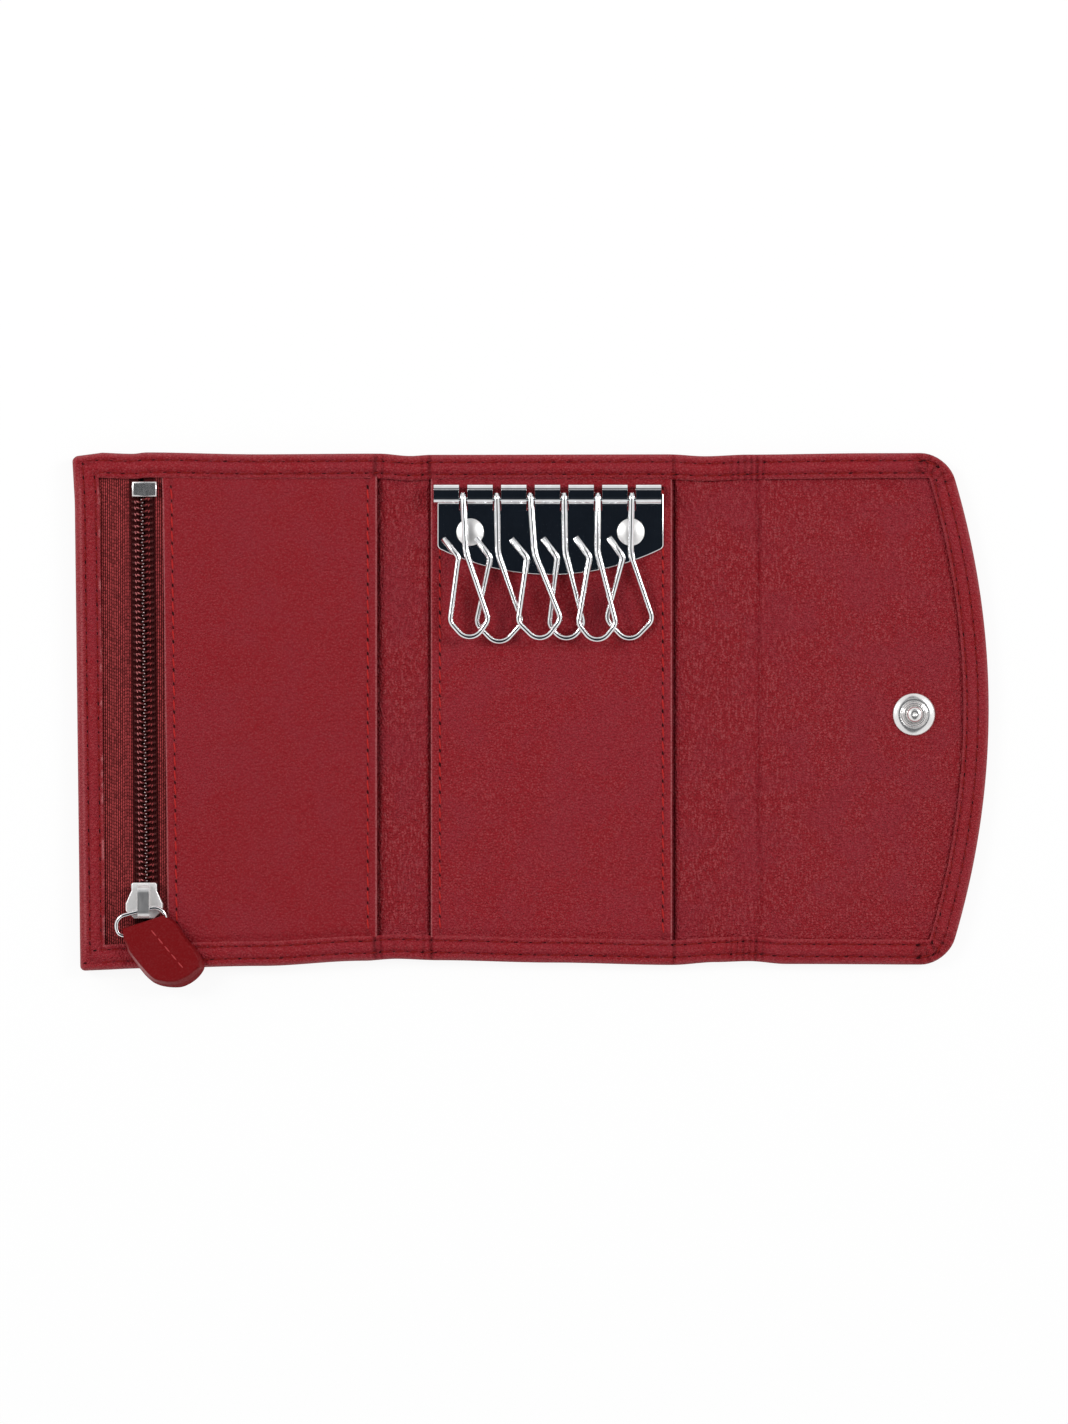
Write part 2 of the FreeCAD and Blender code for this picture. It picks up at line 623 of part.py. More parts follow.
def zip_half(label, side, first_tooth):
    """One side of the zip's chain: the cord sewn to the tape, and teeth across the middle line."""
    body = new_body(label)
    back = zip_line + side * d.coil_half_width
    front = zip_line + side * (d.coil_half_width - d.coil_cord)
    tip = zip_line - side * d.tooth_past
    along = (chain_bottom, chain_top)
    cord = new_sketch(body, "XY_Plane", level=tape_top)
    draw_outline(cord, rectangle((back, front) if side < 0 else (front, back), along))
    pad(body, cord, d.coil_rise)
    fillet(body, d.coil_rise / 2 - d.slip, lambda box: near(box.ZMin, coil_top) and box.XLength < TOUCH)
    tooth = new_sketch(body, "XY_Plane", level=tape_top)
    root = zip_line + side * (d.coil_half_width - d.coil_cord / 2)
    start = chain_bottom + first_tooth
    sides = (root, tip) if side < 0 else (tip, root)
    draw_outline(tooth, rectangle(sides, (start, start + d.tooth_thick)))
    first = pad(body, tooth, d.coil_rise - d.tooth_sink)
    room = chain_top - chain_bottom - first_tooth - d.tooth_thick
    steps = int(room.value / d.tooth_pitch.value)
    pattern(body, first, "Y_Axis", steps * d.tooth_pitch, steps + 1)


def zip_stops():
    middle = (zip_line - d.bottom_stop_width / 2, zip_line + d.bottom_stop_width / 2)
    along = (chain_top + d.slip, chain_top + d.slip + d.bottom_stop_length)
    stop = slab("zip_bottom_stop", middle, along, (tape_top, tape_top + d.bottom_stop_rise))
    fillet(stop, d.stop_round, lambda box: near(box.ZMin, tape_top + d.bottom_stop_rise))
    near_side = zip_line + d.zip_slit / 2
    stop_top = d.top_stop_from_bottom - half
    along = (stop_top - d.top_stop_length, stop_top)
    level = (tape_top, tape_top + d.top_stop_rise)
    one = slab("zip_top_stop", (near_side, near_side + d.top_stop_width), along, level)
    fillet(one, d.stop_round, lambda box: near(box.ZMin, tape_top + d.top_stop_rise))
    pair("zip_top_stops", one, zip_line)


def slider_outline(sketch):
    """The slider's plate, narrow at its upper end, broad at the shoulders and tapered to its nose."""
    shoulder = slider_top - d.slider_shoulder_from
    waist = shoulder - d.slider_shoulder_length
    nose = slider_top - d.slider_length
    steps = [
        (d.slider_nose / 2, nose), (d.slider_shoulder / 2, waist), (d.slider_shoulder / 2, shoulder),
        (d.slider_neck / 2, slider_top - d.slider_neck_length), (d.slider_neck / 2, slider_top),
    ]
    right = [(zip_line + x, y) for x, y in steps]
    left = [(zip_line - x, y) for x, y in reversed(steps)]
    draw_outline(sketch, right + left)


def zip_slider():
    """A cast slider: two plates joined by a post, side walls round the coils, and a bridge for the pull."""
    body = new_body("zip_slider")
    under = tape_bottom - d.slider_run
    over = coil_top + d.slider_over
    lower = new_sketch(body, "XY_Plane", level=under - d.slider_plate)
    slider_outline(lower)
    pad(body, lower, d.slider_plate)
    fillet(body, d.stop_round, stands)
    end = slider_top - d.slider_length + d.slider_post_back
    sides = (zip_line - d.slider_post / 2, zip_line + d.slider_post / 2)
    post = new_sketch(body, "XY_Plane", level=under)
    draw_outline(post, rectangle(sides, (end, end + d.slider_post_length)))
    pad(body, post, over - under)
    upper = new_sketch(body, "XY_Plane", level=over)
    slider_outline(upper)
    pad(body, upper, d.slider_plate)
    top = over + d.slider_plate
    fillet(body, d.stop_round, lambda box: stands(box) and near(box.ZMin, over) and near(box.ZMax, top))
    fillet(body, d.slider_edge, lambda box: near(box.ZMin, top))
    shoulder = slider_top - d.slider_shoulder_from
    wall = d.slider_shoulder / 2
    wings = new_sketch(body, "XY_Plane", level=tape_top + d.slider_run)
    along = (shoulder - d.slider_shoulder_length, shoulder)
    for side in (-1, 1):
        walls = sorted((side * wall, side * (wall - d.slider_wing)), key=lambda size: size.value)
        draw_outline(wings, rectangle([zip_line + w for w in walls], along))
    pad(body, wings, over - tape_top - d.slider_run)
    bail = new_sketch(body, "YZ_Plane", level=zip_line - d.bail_width / 2)
    high = slider_top - d.bail_start
    low = high - d.bail_length
    crown = top + d.bail_rise
    inner = crown - d.bail_wall
    arch = [
        (low, top), (low + d.bail_wall, top), (low + d.bail_wall, inner), (high - d.bail_wall, inner),
        (high - d.bail_wall, top), (high, top), (high, crown), (low, crown),
    ]
    draw_outline(bail, arch)
    pad(body, bail, d.bail_width)
    fillet(body, d.bail_round, lambda box: near(box.ZMin, crown) and box.YLength < TOUCH)


def rounded_path(corners, bends):
    """Straight runs through the corners, each bend a tangent arc of its own radius."""
    edges = []
    start = corners[0]
    for before, corner, after, radius in zip(corners, corners[1:], corners[2:], bends):
        way_in = (before - corner).normalize()
        way_out = (after - corner).normalize()
        half_angle = way_in.getAngle(way_out) / 2
        reach = radius / math.tan(half_angle)
        middle = (way_in + way_out).normalize() * (radius / math.sin(half_angle) - radius)
        edges.append(Part.LineSegment(start, corner + way_in * reach).toShape())
        ends = (corner + way_in * reach, corner + middle, corner + way_out * reach)
        edges.append(Part.Arc(*ends).toShape())
        start = ends[2]
    edges.append(Part.LineSegment(start, corners[-1]).toShape())
    return edges


def wire_piece(label, edges, place, diameter):
    """A round wire swept along a path of runs and tangent arcs."""
    path = doc.addObject("Part::Feature", f"{label}_path")
    path.Shape = Part.Wire(edges)
    path.Placement = place
    first = path.Shape.Edges[0]
    section = doc.addObject("Part::Circle", f"{label}_section")
    bind(section, "Radius", diameter / 2)
    heading = first.tangentAt(first.FirstParameter)
    section.Placement = FreeCAD.Placement(first.valueAt(first.FirstParameter),
                                          FreeCAD.Rotation(Vector(0, 0, 1), heading))
    piece = doc.addObject("Part::Sweep", label)
    piece.Sections = [section]
    piece.Spine = (path, [f"Edge{n}" for n in range(1, len(edges) + 1)])
    piece.Solid = True
    piece.Label = label
    doc.recompute()
    return piece


def pull():
    """The wire link in the slider's bridge, and the folded leather tab on the link's lower bar."""
    turn = FreeCAD.Rotation(Vector(0, 0, 1), d.link_yaw.value)
    tilt = FreeCAD.Rotation(Vector(1, 0, 0), d.link_slope.value)
    bridge = Vector(zip_line.value, (slider_top - d.link_bar_back).value, d.link_bar_height.value)
    bar = bridge + turn.multVec(Vector(-d.link_shift.value, 0, 0))
    side = (d.link_width - d.link_wire).value / 2
    low = -d.link_span.value
    corners = [(0, 0), (side, 0), (side, low), (-side, low), (-side, 0), (0, 0)]
    upper, lower = d.link_upper_corner.value, d.link_corner.value
    edges = rounded_path([Vector(x, y, 0) for x, y in corners], [upper, lower, lower, upper])
    wire_piece("pull_link", edges, FreeCAD.Placement(bar, turn.multiply(tilt)), d.link_wire)
    tab = new_body("pull_tab")
    outline = new_sketch(tab, "XY_Plane", level=-d.tab_thick / 2)
    draw_outline(outline, [
        (-d.tab_left, d.tab_nose), (-d.tab_side_left, -d.tab_side_left_at), (d.tab_end_left, -d.tab_length),
        (d.tab_end_right, -d.tab_length), (d.tab_side_right, -d.tab_side_right_at),
        (d.tab_right, -d.tab_right_at), (d.tab_right, d.tab_nose),
    ])
    pad(tab, outline, d.tab_thick)
    fillet(tab, d.tab_corner, lambda box: stands(box) and not near(box.YMin, d.tab_nose))
    fillet(tab, d.tab_thick / 2 - d.slip, lambda box: near(box.YMin, d.tab_nose) and box.YLength < TOUCH
           and box.ZLength < TOUCH)
    eye = new_sketch(tab, "YZ_Plane", level=d.tab_side_right)
    draw_circle(eye, 0, 0, d.tab_bore / 2)
    pocket(tab, eye, 2 * d.tab_side_right)
    lower_bar = bar + turn.multVec(tilt.multVec(Vector(0, low, 0)))
    tab.Placement = FreeCAD.Placement(lower_bar, turn)
    doc.recompute()


# The key rail and its hooks
def key_rail():
    """A sheet metal plate whose upper edge is rolled into a row of knuckles."""
    body = new_body("rail_plate")
    sides = (plate_middle - d.plate_width / 2, plate_middle + d.plate_width / 2)
    chord = d.plate_width / 2
    bow = (chord * chord + d.plate_bow * d.plate_bow) / (2 * d.plate_bow)
    bow_centre = (plate_middle, plate_side - d.plate_bow + bow)
    plate = new_sketch(body, "XY_Plane", level=key_panel_top)
    draw_outline(plate, rectangle(sides, (plate_side, rail_height)), {0: bow_centre})
    pad(body, plate, d.plate_metal)
    fillet(body, d.plate_corner, lambda box: stands(box) and near(box.YMin, plate_side))
    fillet(body, d.plate_edge, lambda box: near(box.ZMin, plate_top) and not near(box.YMin, rail_height))
    roll = new_sketch(body, "YZ_Plane", level=d.rail_shift - row_width / 2)
    draw_roll(roll, 0)
    pad(body, roll, row_width)
    bore = new_sketch(body, "YZ_Plane", level=d.rail_shift + row_width / 2)
    draw_roll(bore, d.rail_metal)
    pocket(body, bore, row_width)
    slot = new_sketch(body, "XY_Plane", level=key_panel_top + d.knuckle_deep)
    gap = (first_hook - d.knuckle_gap / 2, first_hook + d.knuckle_gap / 2)
    draw_outline(slot, rectangle(gap, (pin_height - d.slot_below, rail_height + d.knuckle_tall)))
    cut = pocket(body, slot, d.knuckle_deep)
    pattern(body, cut, "X_Axis", (HOOKS - 1) * d.knuckle_pitch, HOOKS)
    punch(body, plate_top, d.plate_metal, rivet_holes(d.rivet_shank / 2 + d.slip))
    pin = doc.addObject("Part::Cylinder", "rail_pin")
    pin.Label = "rail_pin"
    pin.Placement = FreeCAD.Placement(Vector(), FreeCAD.Rotation(Vector(0, 1, 0), 90))
    bind(pin, "Radius", d.pin_diameter / 2)
    bind(pin, "Height", row_width - 2 * d.pin_short)
    bind(pin, "Placement.Base.x", d.rail_shift - row_width / 2 + d.pin_short)
    bind(pin, "Placement.Base.y", pin_height)
    bind(pin, "Placement.Base.z", knuckle_level)


def draw_roll(sketch, inset):
    """The section of the rolled edge, a flattened round, drawn in by the metal's thickness."""
    radius = d.knuckle_deep / 2 - inset
    reach = d.knuckle_tall / 2 - d.knuckle_deep / 2
    low, high = rail_height - reach, rail_height + reach
    corners = rectangle((low, high), (knuckle_level - radius, knuckle_level + radius))
    draw_outline(sketch, corners, {1: (high, knuckle_level), 3: (low, knuckle_level)})


def rail_rivets():
    x = plate_middle - d.rivet_spacing / 2
    head = d.rivet_head / 2
    shank = d.rivet_shank / 2
    bow = (head * head + d.rivet_dome * d.rivet_dome) / (2 * d.rivet_dome)
    crown = plate_top + d.rivet_dome
    section = [
        (0, d.cover_leather), (shank, d.cover_leather), (shank, plate_top), (head, plate_top), (0, crown),
    ]
    rivet = turned("rail_rivet", x, rivet_height, section, {3: (0, crown - bow)})
    pair("rail_rivets", rivet, plate_middle)
    washer = turned("rivet_washer", x, rivet_height,
                    rectangle((shank + d.slip, d.washer_width / 2),
                              (d.cover_leather, d.cover_leather + d.washer_thick)))
    pair("rivet_washers", washer, plate_middle)


def hook_path():
    """One hook's wire: an eye round the pin, then a loop that closes on its shank and ends in a tail."""
    eye = ((d.pin_diameter + d.hook_wire) / 2 + d.hook_play).value

    def on_eye(angle):
        turn = math.radians(angle)
        return Vector(0, eye * math.cos(turn), eye * math.sin(turn))

    wrap = d.hook_wrap.value
    edges = [Part.Arc(on_eye(90 - wrap), on_eye(90 - wrap / 2), on_eye(90)).toShape()]
    corners = [
        (0, 0), (0, d.hook_shank), (d.hook_half_width, d.hook_shoulder), (0, d.hook_length),
        (-d.hook_half_width, d.hook_shoulder), (-d.hook_close, d.hook_close_at),
        (-d.hook_tail_out, d.hook_tail_at),
    ]
    bends = [d.hook_open_bend, d.hook_side_bend, d.hook_end_bend, d.hook_side_bend, d.hook_tail_bend]
    spots = [Vector(Size.of(x).value, -Size.of(y).value, eye) for x, y in corners]
    return edges + rounded_path(spots, [bend.value for bend in bends])


def key_hooks():
    """Six hooks on one pin. The loops overlap, so every other hook lies on top of its neighbours."""
    leans = [d.lean_1, d.lean_2, d.lean_3, d.lean_4, d.lean_5, d.lean_6]
    for number, lean in enumerate(leans, start=1):
        slope = d.upper_slope if number % 2 else d.lower_slope
        droop = FreeCAD.Rotation(Vector(1, 0, 0), slope.value)
        sway = FreeCAD.Rotation(Vector(0, 0, 1), lean.value)
        x = first_hook + (number - 1) * d.knuckle_pitch
        spot = Vector(x.value, pin_height.value, knuckle_level.value)
        place = FreeCAD.Placement(spot, sway.multiply(droop))
        wire_piece(f"key_hook_{number}", hook_path(), place, d.hook_wire)


def snap():
    """Cap and stud on the flap, socket and eyelet on the left panel, all set flush in the outer leather."""
    bulb = d.stud_bulb / 2
    neck = d.stud_neck / 2
    ring_top = lining_top + d.stud_flange_thick + d.stud_ring_rise
    tip = lining_top + d.stud_tall
    bulb_level = tip - bulb
    post = d.cap_post / 2
    dimple = d.stud_dimple / 2
    flange_top = lining_top + d.stud_flange_thick
    ring = d.stud_ring / 2
    slant = d.stud_groove
    section = [
        (0, lining_top), (d.stud_flange / 2, lining_top), (d.stud_flange / 2, lining_top + d.stud_rim),
        (ring + slant, flange_top), (ring, flange_top - slant), (ring, ring_top - slant),
        (ring - slant, ring_top), (neck + slant, ring_top), (neck, ring_top - slant), (bulb, bulb_level),
        (dimple, tip), (dimple, tip - d.stud_dimple_deep), (0, tip - d.stud_dimple_deep),
    ]
    turned("snap_stud", stud_x, d.stud_height, section)
    turned("snap_cap", stud_x, d.stud_height, [
        (0, 0), (d.cap_width / 2, 0), (d.cap_width / 2, d.cap_thick), (post, d.cap_thick),
        (post, lining_top), (0, lining_top),
    ])
    bore = d.socket_bore / 2
    turned("snap_socket", socket_x, d.stud_height,
           rectangle((eyelet_outer + d.slip, d.socket_width / 2), (0, d.socket_thick)))
    flange_top = pocket_floor + d.eyelet_flange_thick
    turned("snap_eyelet", socket_x, d.stud_height, [
        (bore, 0), (eyelet_outer, 0), (eyelet_outer, pocket_floor), (d.eyelet_flange / 2, pocket_floor),
        (d.eyelet_flange / 2, flange_top), (bore, flange_top),
    ])


covers()
linings()
centre_panel()
coin_pocket()
zip_chain()
zip_stops()
zip_slider()
pull()
key_rail()
rail_rivets()
key_hooks()
snap()

NODES = [
    "center_cover", "center_board", "key_panel", "rail_plate", "rail_pin", "rail_rivets", "rivet_washers",
    "key_hook_1", "key_hook_2", "key_hook_3", "key_hook_4", "key_hook_5", "key_hook_6",
    "left_spine_cover", "left_spine_lining", "left_cover", "pocket_lining", "pocket_front_lining",
    "pocket_front", "zip_tape_left", "zip_tape_right", "zip_coil_left", "zip_coil_right",
    "zip_bottom_stop", "zip_top_stops", "zip_slider", "pull_link", "pull_tab", "snap_socket",
    "snap_eyelet", "right_spine_cover", "right_spine_lining", "flap_cover", "flap_lining", "snap_stud",
    "snap_cap",
]

doc.recompute()
for thing in doc.Objects:
    if "Invalid" in thing.State or "Error" in thing.State:
        raise RuntimeError(f"{thing.Label}: {thing.State}")
pieces = {label: doc.getObjectsByLabel(label)[0] for label in NODES}
for label, piece in pieces.items():
    if piece.Shape.isNull() or not piece.Shape.isValid():
        raise RuntimeError(f"{label}: no valid shape")
os.makedirs("parts", exist_ok=True)
for label, piece in pieces.items():
    piece.Shape.exportStep(f"parts/{label}.step")
    print(f"{label}: {len(piece.Shape.Solids)} solid, {piece.Shape.Volume:.1f} mm3")
print(f"right fold {math.degrees(math.asin(flap_rise.value / d.right_spine_width.value)):.4f} degrees")
print(f"socket at x {socket_x.value:.3f}, pin at y {pin_height.value:.3f} z {knuckle_level.value:.3f}")
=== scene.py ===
"""A leather key case, opened flat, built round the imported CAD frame. Meshes are worked out in millimetres."""

import json
import math

import bmesh
import bpy
from bpy.props import FloatProperty, FloatVectorProperty, PointerProperty
from mathutils import Matrix, Vector, noise
from mathutils.geometry import interpolate_bezier


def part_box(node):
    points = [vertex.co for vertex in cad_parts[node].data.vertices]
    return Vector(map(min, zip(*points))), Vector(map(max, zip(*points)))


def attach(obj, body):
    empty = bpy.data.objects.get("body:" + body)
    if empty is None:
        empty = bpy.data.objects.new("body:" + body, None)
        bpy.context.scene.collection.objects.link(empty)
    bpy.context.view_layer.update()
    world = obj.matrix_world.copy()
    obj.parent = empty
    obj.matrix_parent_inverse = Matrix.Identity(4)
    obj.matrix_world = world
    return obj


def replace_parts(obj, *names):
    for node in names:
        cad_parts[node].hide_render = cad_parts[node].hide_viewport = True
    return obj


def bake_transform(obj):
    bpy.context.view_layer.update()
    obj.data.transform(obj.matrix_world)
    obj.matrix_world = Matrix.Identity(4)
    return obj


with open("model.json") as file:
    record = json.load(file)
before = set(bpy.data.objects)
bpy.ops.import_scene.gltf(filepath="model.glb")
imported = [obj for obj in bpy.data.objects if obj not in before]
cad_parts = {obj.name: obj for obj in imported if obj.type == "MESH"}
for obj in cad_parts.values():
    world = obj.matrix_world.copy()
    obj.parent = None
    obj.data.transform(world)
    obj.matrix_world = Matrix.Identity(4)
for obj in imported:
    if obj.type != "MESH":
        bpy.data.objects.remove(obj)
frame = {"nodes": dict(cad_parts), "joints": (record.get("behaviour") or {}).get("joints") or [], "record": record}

bl_info = {
    "name": "Key case",
    "version": (1, 0, 0),
    "blender": (4, 5, 0),
    "location": "View3D > Sidebar > Key case",
    "description": "Builds the leather, stitching, zip, key rail and studio of a folding key case",
    "category": "Object",
}

MM = 0.001

# Angles between faces that count as sharp and as flat, and millimetres that count as no distance
SHARP = math.radians(42)
FLAT = math.radians(0.6)
WELD = 0.001
NEAR = 0.01
CUT_NEAR = 0.0001

# The frame's own places, in millimetres
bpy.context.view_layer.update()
FOLD = {joint["name"]: joint["pos_m"][0] / MM for joint in frame["joints"] if joint["name"].endswith("_fold")}


def node_box(*nodes):
    """Lowest and highest corner of some CAD nodes together, in millimetres."""
    boxes = [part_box(node) for node in nodes]
    low = Vector([min(box[0][k] for box in boxes) / MM for k in range(3)])
    high = Vector([max(box[1][k] for box in boxes) / MM for k in range(3)])
    return low, high


LEFT = node_box("left_cover")[0].x
FLAP_END = node_box("flap_cover")[1].x
HALF = node_box("center_cover")[1].y
COVER_TOP = node_box("center_board")[0].z
LINING_TOP = node_box("flap_lining")[1].z
HEM_TOP = node_box("center_cover")[1].z
LEFT_HEM_TOP = node_box("left_cover")[1].z
PANEL_LOW, PANEL_HIGH = node_box("key_panel")
FRONT_LOW, FRONT_HIGH = node_box("pocket_front")
TAPE_TOP = node_box("zip_tape_left")[1].z
COIL_LOW, COIL_HIGH = node_box("zip_coil_left", "zip_coil_right")
ZIP_LINE = (COIL_LOW.x + COIL_HIGH.x) / 2
LEFT_CUT = (FOLD["left_outer_fold"] + FOLD["left_inner_fold"]) / 2
RIGHT_CUT = (FOLD["right_inner_fold"] + FOLD["right_outer_fold"]) / 2
SOCKET_LOW, SOCKET_HIGH = node_box("snap_socket")
SOCKET_MIDDLE = (SOCKET_LOW + SOCKET_HIGH) / 2
CAP_LOW, CAP_HIGH = node_box("snap_cap")
CAP_MIDDLE = (CAP_LOW + CAP_HIGH) / 2

# Leather, in millimetres: the flap's end, the hem with its rings from the cut edge, and the folds
FLAP_BULGE = 8.9
FLAP_CORNER = 5.6
BOW_START, BOW_FULL = 48.0, 74.0
STRAIGHT_END = FLAP_END - FLAP_BULGE
HEM = 5.4
HEM_INSET = 0.02
HEM_STEP = 0.3, -1.6
HEM_RINGS = (1.25, 1.5, 1.7, 1.9, 2.15, 2.35, 2.55, 2.8, 3.1, 3.5, 3.8, 4.05, 4.3, 4.5, 4.7, 4.9, 5.1, 5.25,
             HEM, HEM + HEM_INSET)
EDGE_ROUND, EDGE_SEGMENTS = 1.05, 5
EDGE_STEP, CLOSE_STEP, CORNER_STEPS = 0.7, 0.25, 10
CLOSE_PLACES = (-39.5, -24.0), (24.5, 29.5), (36.0, 46.5)
CORNER_CLEAR = 6.4
FOLD_REACH = 1.7
FOLD_STEP = 0.34
UNDER_HEM = 0.35
PANEL_REACH = HALF - HEM + UNDER_HEM

# How the opened case lies: the left panel's slant, its flared corners, and the long sides as (x, shift in Y)
PANEL_SLANT = 0.65
SLANT_START, SLANT_FULL = -40.0, -80.0
CORNER_FLARE, FLARE_FROM = 0.4, 0.8
UPPER_EDGE = ((-101, -1.0), (-97, 0.0), (-88, -0.3), (-85, 0.0), (-62, -0.4), (-36.6, -0.25), (-30, -0.75),
              (-25.5, -0.5), (25, -0.4), (32.6, -0.8), (42, -0.45), (68, -0.15), (85, -0.1))
LOWER_EDGE = ((-101, -0.2), (-87, 0.3), (-62, 0.8), (-40, 1.9), (-33, 2.3), (-24, 2.0), (0, 1.5), (25.6, 1.0),
              (35, 1.6), (42, 1.8), (50, 1.2), (85, 1.05))

# Relief of the leather. A band is (height, place, spread), a pucker (how many to a millimetre, height) and
# a pleat (depth, degrees round the flap's corner). Wrinkles start, are full from and until, and end at an x
HEM_CREASES = ((0.5, -37.4, 0.45), (0.3, -36.1, 0.3), (0.12, -33.4, 0.35), (0.1, -30.6, 0.4),
               (0.25, -27.2, 0.3), (0.5, -25.6, 0.4), (0.4, 26.0, 0.4), (0.1, 28.2, 0.3),
               (0.12, 36.8, 0.3), (0.22, 38.2, 0.3), (0.28, 39.6, 0.28), (0.34, 41.0, 0.3),
               (0.3, 42.3, 0.28), (0.42, 43.5, 0.32), (0.25, 44.9, 0.3))
CREASE_WANDER = 0.5
HEM_PUFF = 0.3, 3.1, 0.9
HEM_PUCKERS = (0.3, 0.07), (0.8, 0.08), (1.6, 0.05)
HEM_ROLL, ROLL_FROM = 0.3, 4.95
ROW_DEPTH, ROW_SPREAD = 0.24, 0.28
PLEATS = (0.3, 20), (0.35, 33), (0.5, 47), (0.4, 60), (0.45, 71), (0.3, 80)
PLEAT_MARGIN, PLEAT_SPREAD = 3.0, 2.6
PLEAT_START, PLEAT_FULL = 0.3, 2.5
GROOVES = ((0.55, PANEL_HIGH.x + 0.4, 0.36), (0.45, PANEL_LOW.x - 0.15, 0.33),
           (0.4, FRONT_HIGH.x + 0.25, 0.33))
FLAP_CREASES = (-0.35, FOLD["right_outer_fold"] - 0.1, 0.4), (0.2, 45.3, 0.6)
WRINKLED = (24, 27, 46, 62), (-39, -36, -26, -23)
WRINKLE, FINER_SHARE, SWELL = 0.14, 0.6, 0.08
FLAP_WANDER = 0.6
LINING_OVERLAP = 2.0
LINING_MESH = 0.3, 1.4

# The raised panels: their sewn row, drop and width of the rolled sides, the row's dip as a band, drop of
# the tucked ends and where it starts and is full, width of the raised side, and how uneven the face is.
# Then steps of the mesh, and its close places beside the sides and the ends
PANEL_ROW = 1.9
PANEL_ROLL, ROLL_WIDTH = 0.34, 0.5
PANEL_DRAWN = 0.14, PANEL_ROW, 0.4
PANEL_TUCK, TUCK_START, TUCK_FULL = 0.4, 2.2, 0.4
RAISED_WIDTH = 5.0
PANEL_SWELL, PANEL_DENTS = 0.07, 0.03
PANEL_MESH = 1.0, 1.5
PANEL_SIDES = (0.0, 0.12, 0.26, 0.42, 0.6, 0.9, 1.3, 1.7, 2.1, 2.6, 3.2)
PANEL_ENDS = (0.4, 0.8, 1.2, 1.7, 2.3)

# Gaps under the linings and round the board, how far the board stays inside its panel and the hem, its
# steps and its tones
SKIN_GAP = 0.02
BOARD_GAP = 0.05
BOARD_INSIDE = 2.5, 0.5
BOARD_MESH = 3.0
BOARD_TONES = (0.24, 0.22, 0.19), (0.34, 0.32, 0.28)

# Wear and painted light of the leather, as bands: the hem's outer and inner edges, the left hem's streak,
# and the panels' sides, which have rub and a painted highlight, and rows, which have painted shade. The
# inner edge wears in patches on the left, and faintly elsewhere. The streak fades towards the corners, and
# the hem has painted shade in its rows, creases and pleats
OUTER_RUB = 0.25, 0.35, 0.4
INNER_RUB = 1.0, HEM - 0.1, 0.25
LEAST_PATCH, PATCHES, FAINT_RUB = 0.15, 1.1, 0.18
LEFT_STREAK = 0.45, 1.3, 0.28
STREAK_START, STREAK_FULL = 4.0, 8.0
ROW_DARK, CREASE_DARK, PLEAT_DARK = 0.22, 0.9, 1.2
SIDE_RUB_AND_HIGHLIGHT = 1.0, 0.1, 0.15
ROW_PAINTED_SHADE = 0.25, PANEL_ROW, 0.3

# Stitching: each hem row's distance from the long sides, the left edge and the flap's end, the thread's lie,
# its rise as a share of its width, its level on the back and steps round a corner. Then a needle hole's
# length and width in threads and its depth, how uneven holes are, how many of their lengths a stitch ends
# short, the tint of the hem thread and the near-black tint of the holes, which is painted shade, and how far
# panel rows end short
STITCH_ROWS = (1.7, 2.3, 2.4), (4.3, 4.6, 4.65)
THREAD_SLANT, THREAD_SWAY = math.radians(7), 0.06
THREAD_RISE = 0.4
BACK_LEVEL = 0.11
ROW_STEPS = 4
HOLE_LONG, HOLE_WIDE, HOLE_DEEP = 1.1, 0.55, 0.06
HOLE_UNEVEN, STITCH_SHORT = 0.5, 0.8
HEM_THREAD_TINT, HOLE_SHADE_TINT = 0.45, 0.09
ROW_CLEAR = 1.2

# Woven cloth: its ribs, the painted shadow under the coils, the least width of a sheet, thickness, how
# far it ends inside its CAD node and steps of the mesh. Then where wrinkles end and the flap's smooth face
# begins
RIB_PITCH, RIB_COLUMN = 0.72, 0.46
COIL_SHADE = 2.5, 2.95
CLOTH_THICK = 0.25
CLOTH_INSIDE = 0.5, 1.5
TAPE_INSIDE = 1.0
CLOTH_MESH = 4.0
TAPE_MESH = 1.0, 1.5
GUSSET_END, FLAP_SMOOTH = 44.0, 58.0

# The zip's coils: how far a turn's back stays inside the CAD's coil, the wire's radius, its head's size,
# place and rise, and its sewing threads' size, places as (share of the width, millimetres along, lean),
# rise, and tints as (factor, grey). The heads' pale tint is a painted glint, and the two sides' sewing
# threads are one thread painted lit on the left and shaded on the right
COIL_BACK = 0.3
COIL_LEG = 0.27
COIL_HEAD = 0.16, 0.12, 0.32
HEAD_PAST, HEAD_RISE = 0.1, 0.7
COIL_THREAD = 0.36, 0.14, 0.15
COIL_SEWING = (0.4, 0.21, 62), (0.62, 0.1, 20)
SEWING_RISE = 0.88
HEAD_GLINT_TINT = 2.0, 0.5
SEWING_LIT_AND_SHADED_TINTS = {"left": (1.5, 0.12), "right": (1.0, 0.03)}

# Key hooks in their own plane, pin at 0: start and end of a loop, the CAD's loop as half width, levels of
# corners and tip, and radii of the bends, and the same levels and radii as photographed. Then (half width,
# further drop) of each of the six, their leans, slopes of lower and upper ones, the level above which a hook
# stays as it is, and steps on each straight and bend
WIRES = ("pull_link", "rail_pin", *(f"key_hook_{number}" for number in range(1, 7)))
HOOK_START, HOOK_END = (0, -11.6), (-1.6, -12.3)
CAD_LOOP = 5.0, -25.6, -30.3, (3.6, 4.2, 3.6)
SEEN_CORNER, SEEN_TIP, SEEN_BENDS = -25.4, -30.7, (2.4, 3.0, 2.4)
HOOK_FORMS = (4.15, 0.4), (4.9, 0.85), (4.6, 0.35), (3.65, 1.0), (4.05, 1.0), (5.0, 0.1)
HOOK_LEANS = (2.9, 1.0, 4.2, 1.0, -0.4, -0.9)
HOOK_SLOPES = (4.0, -0.3)
HOOK_KEPT = -13.2
BEND_STEPS = 12

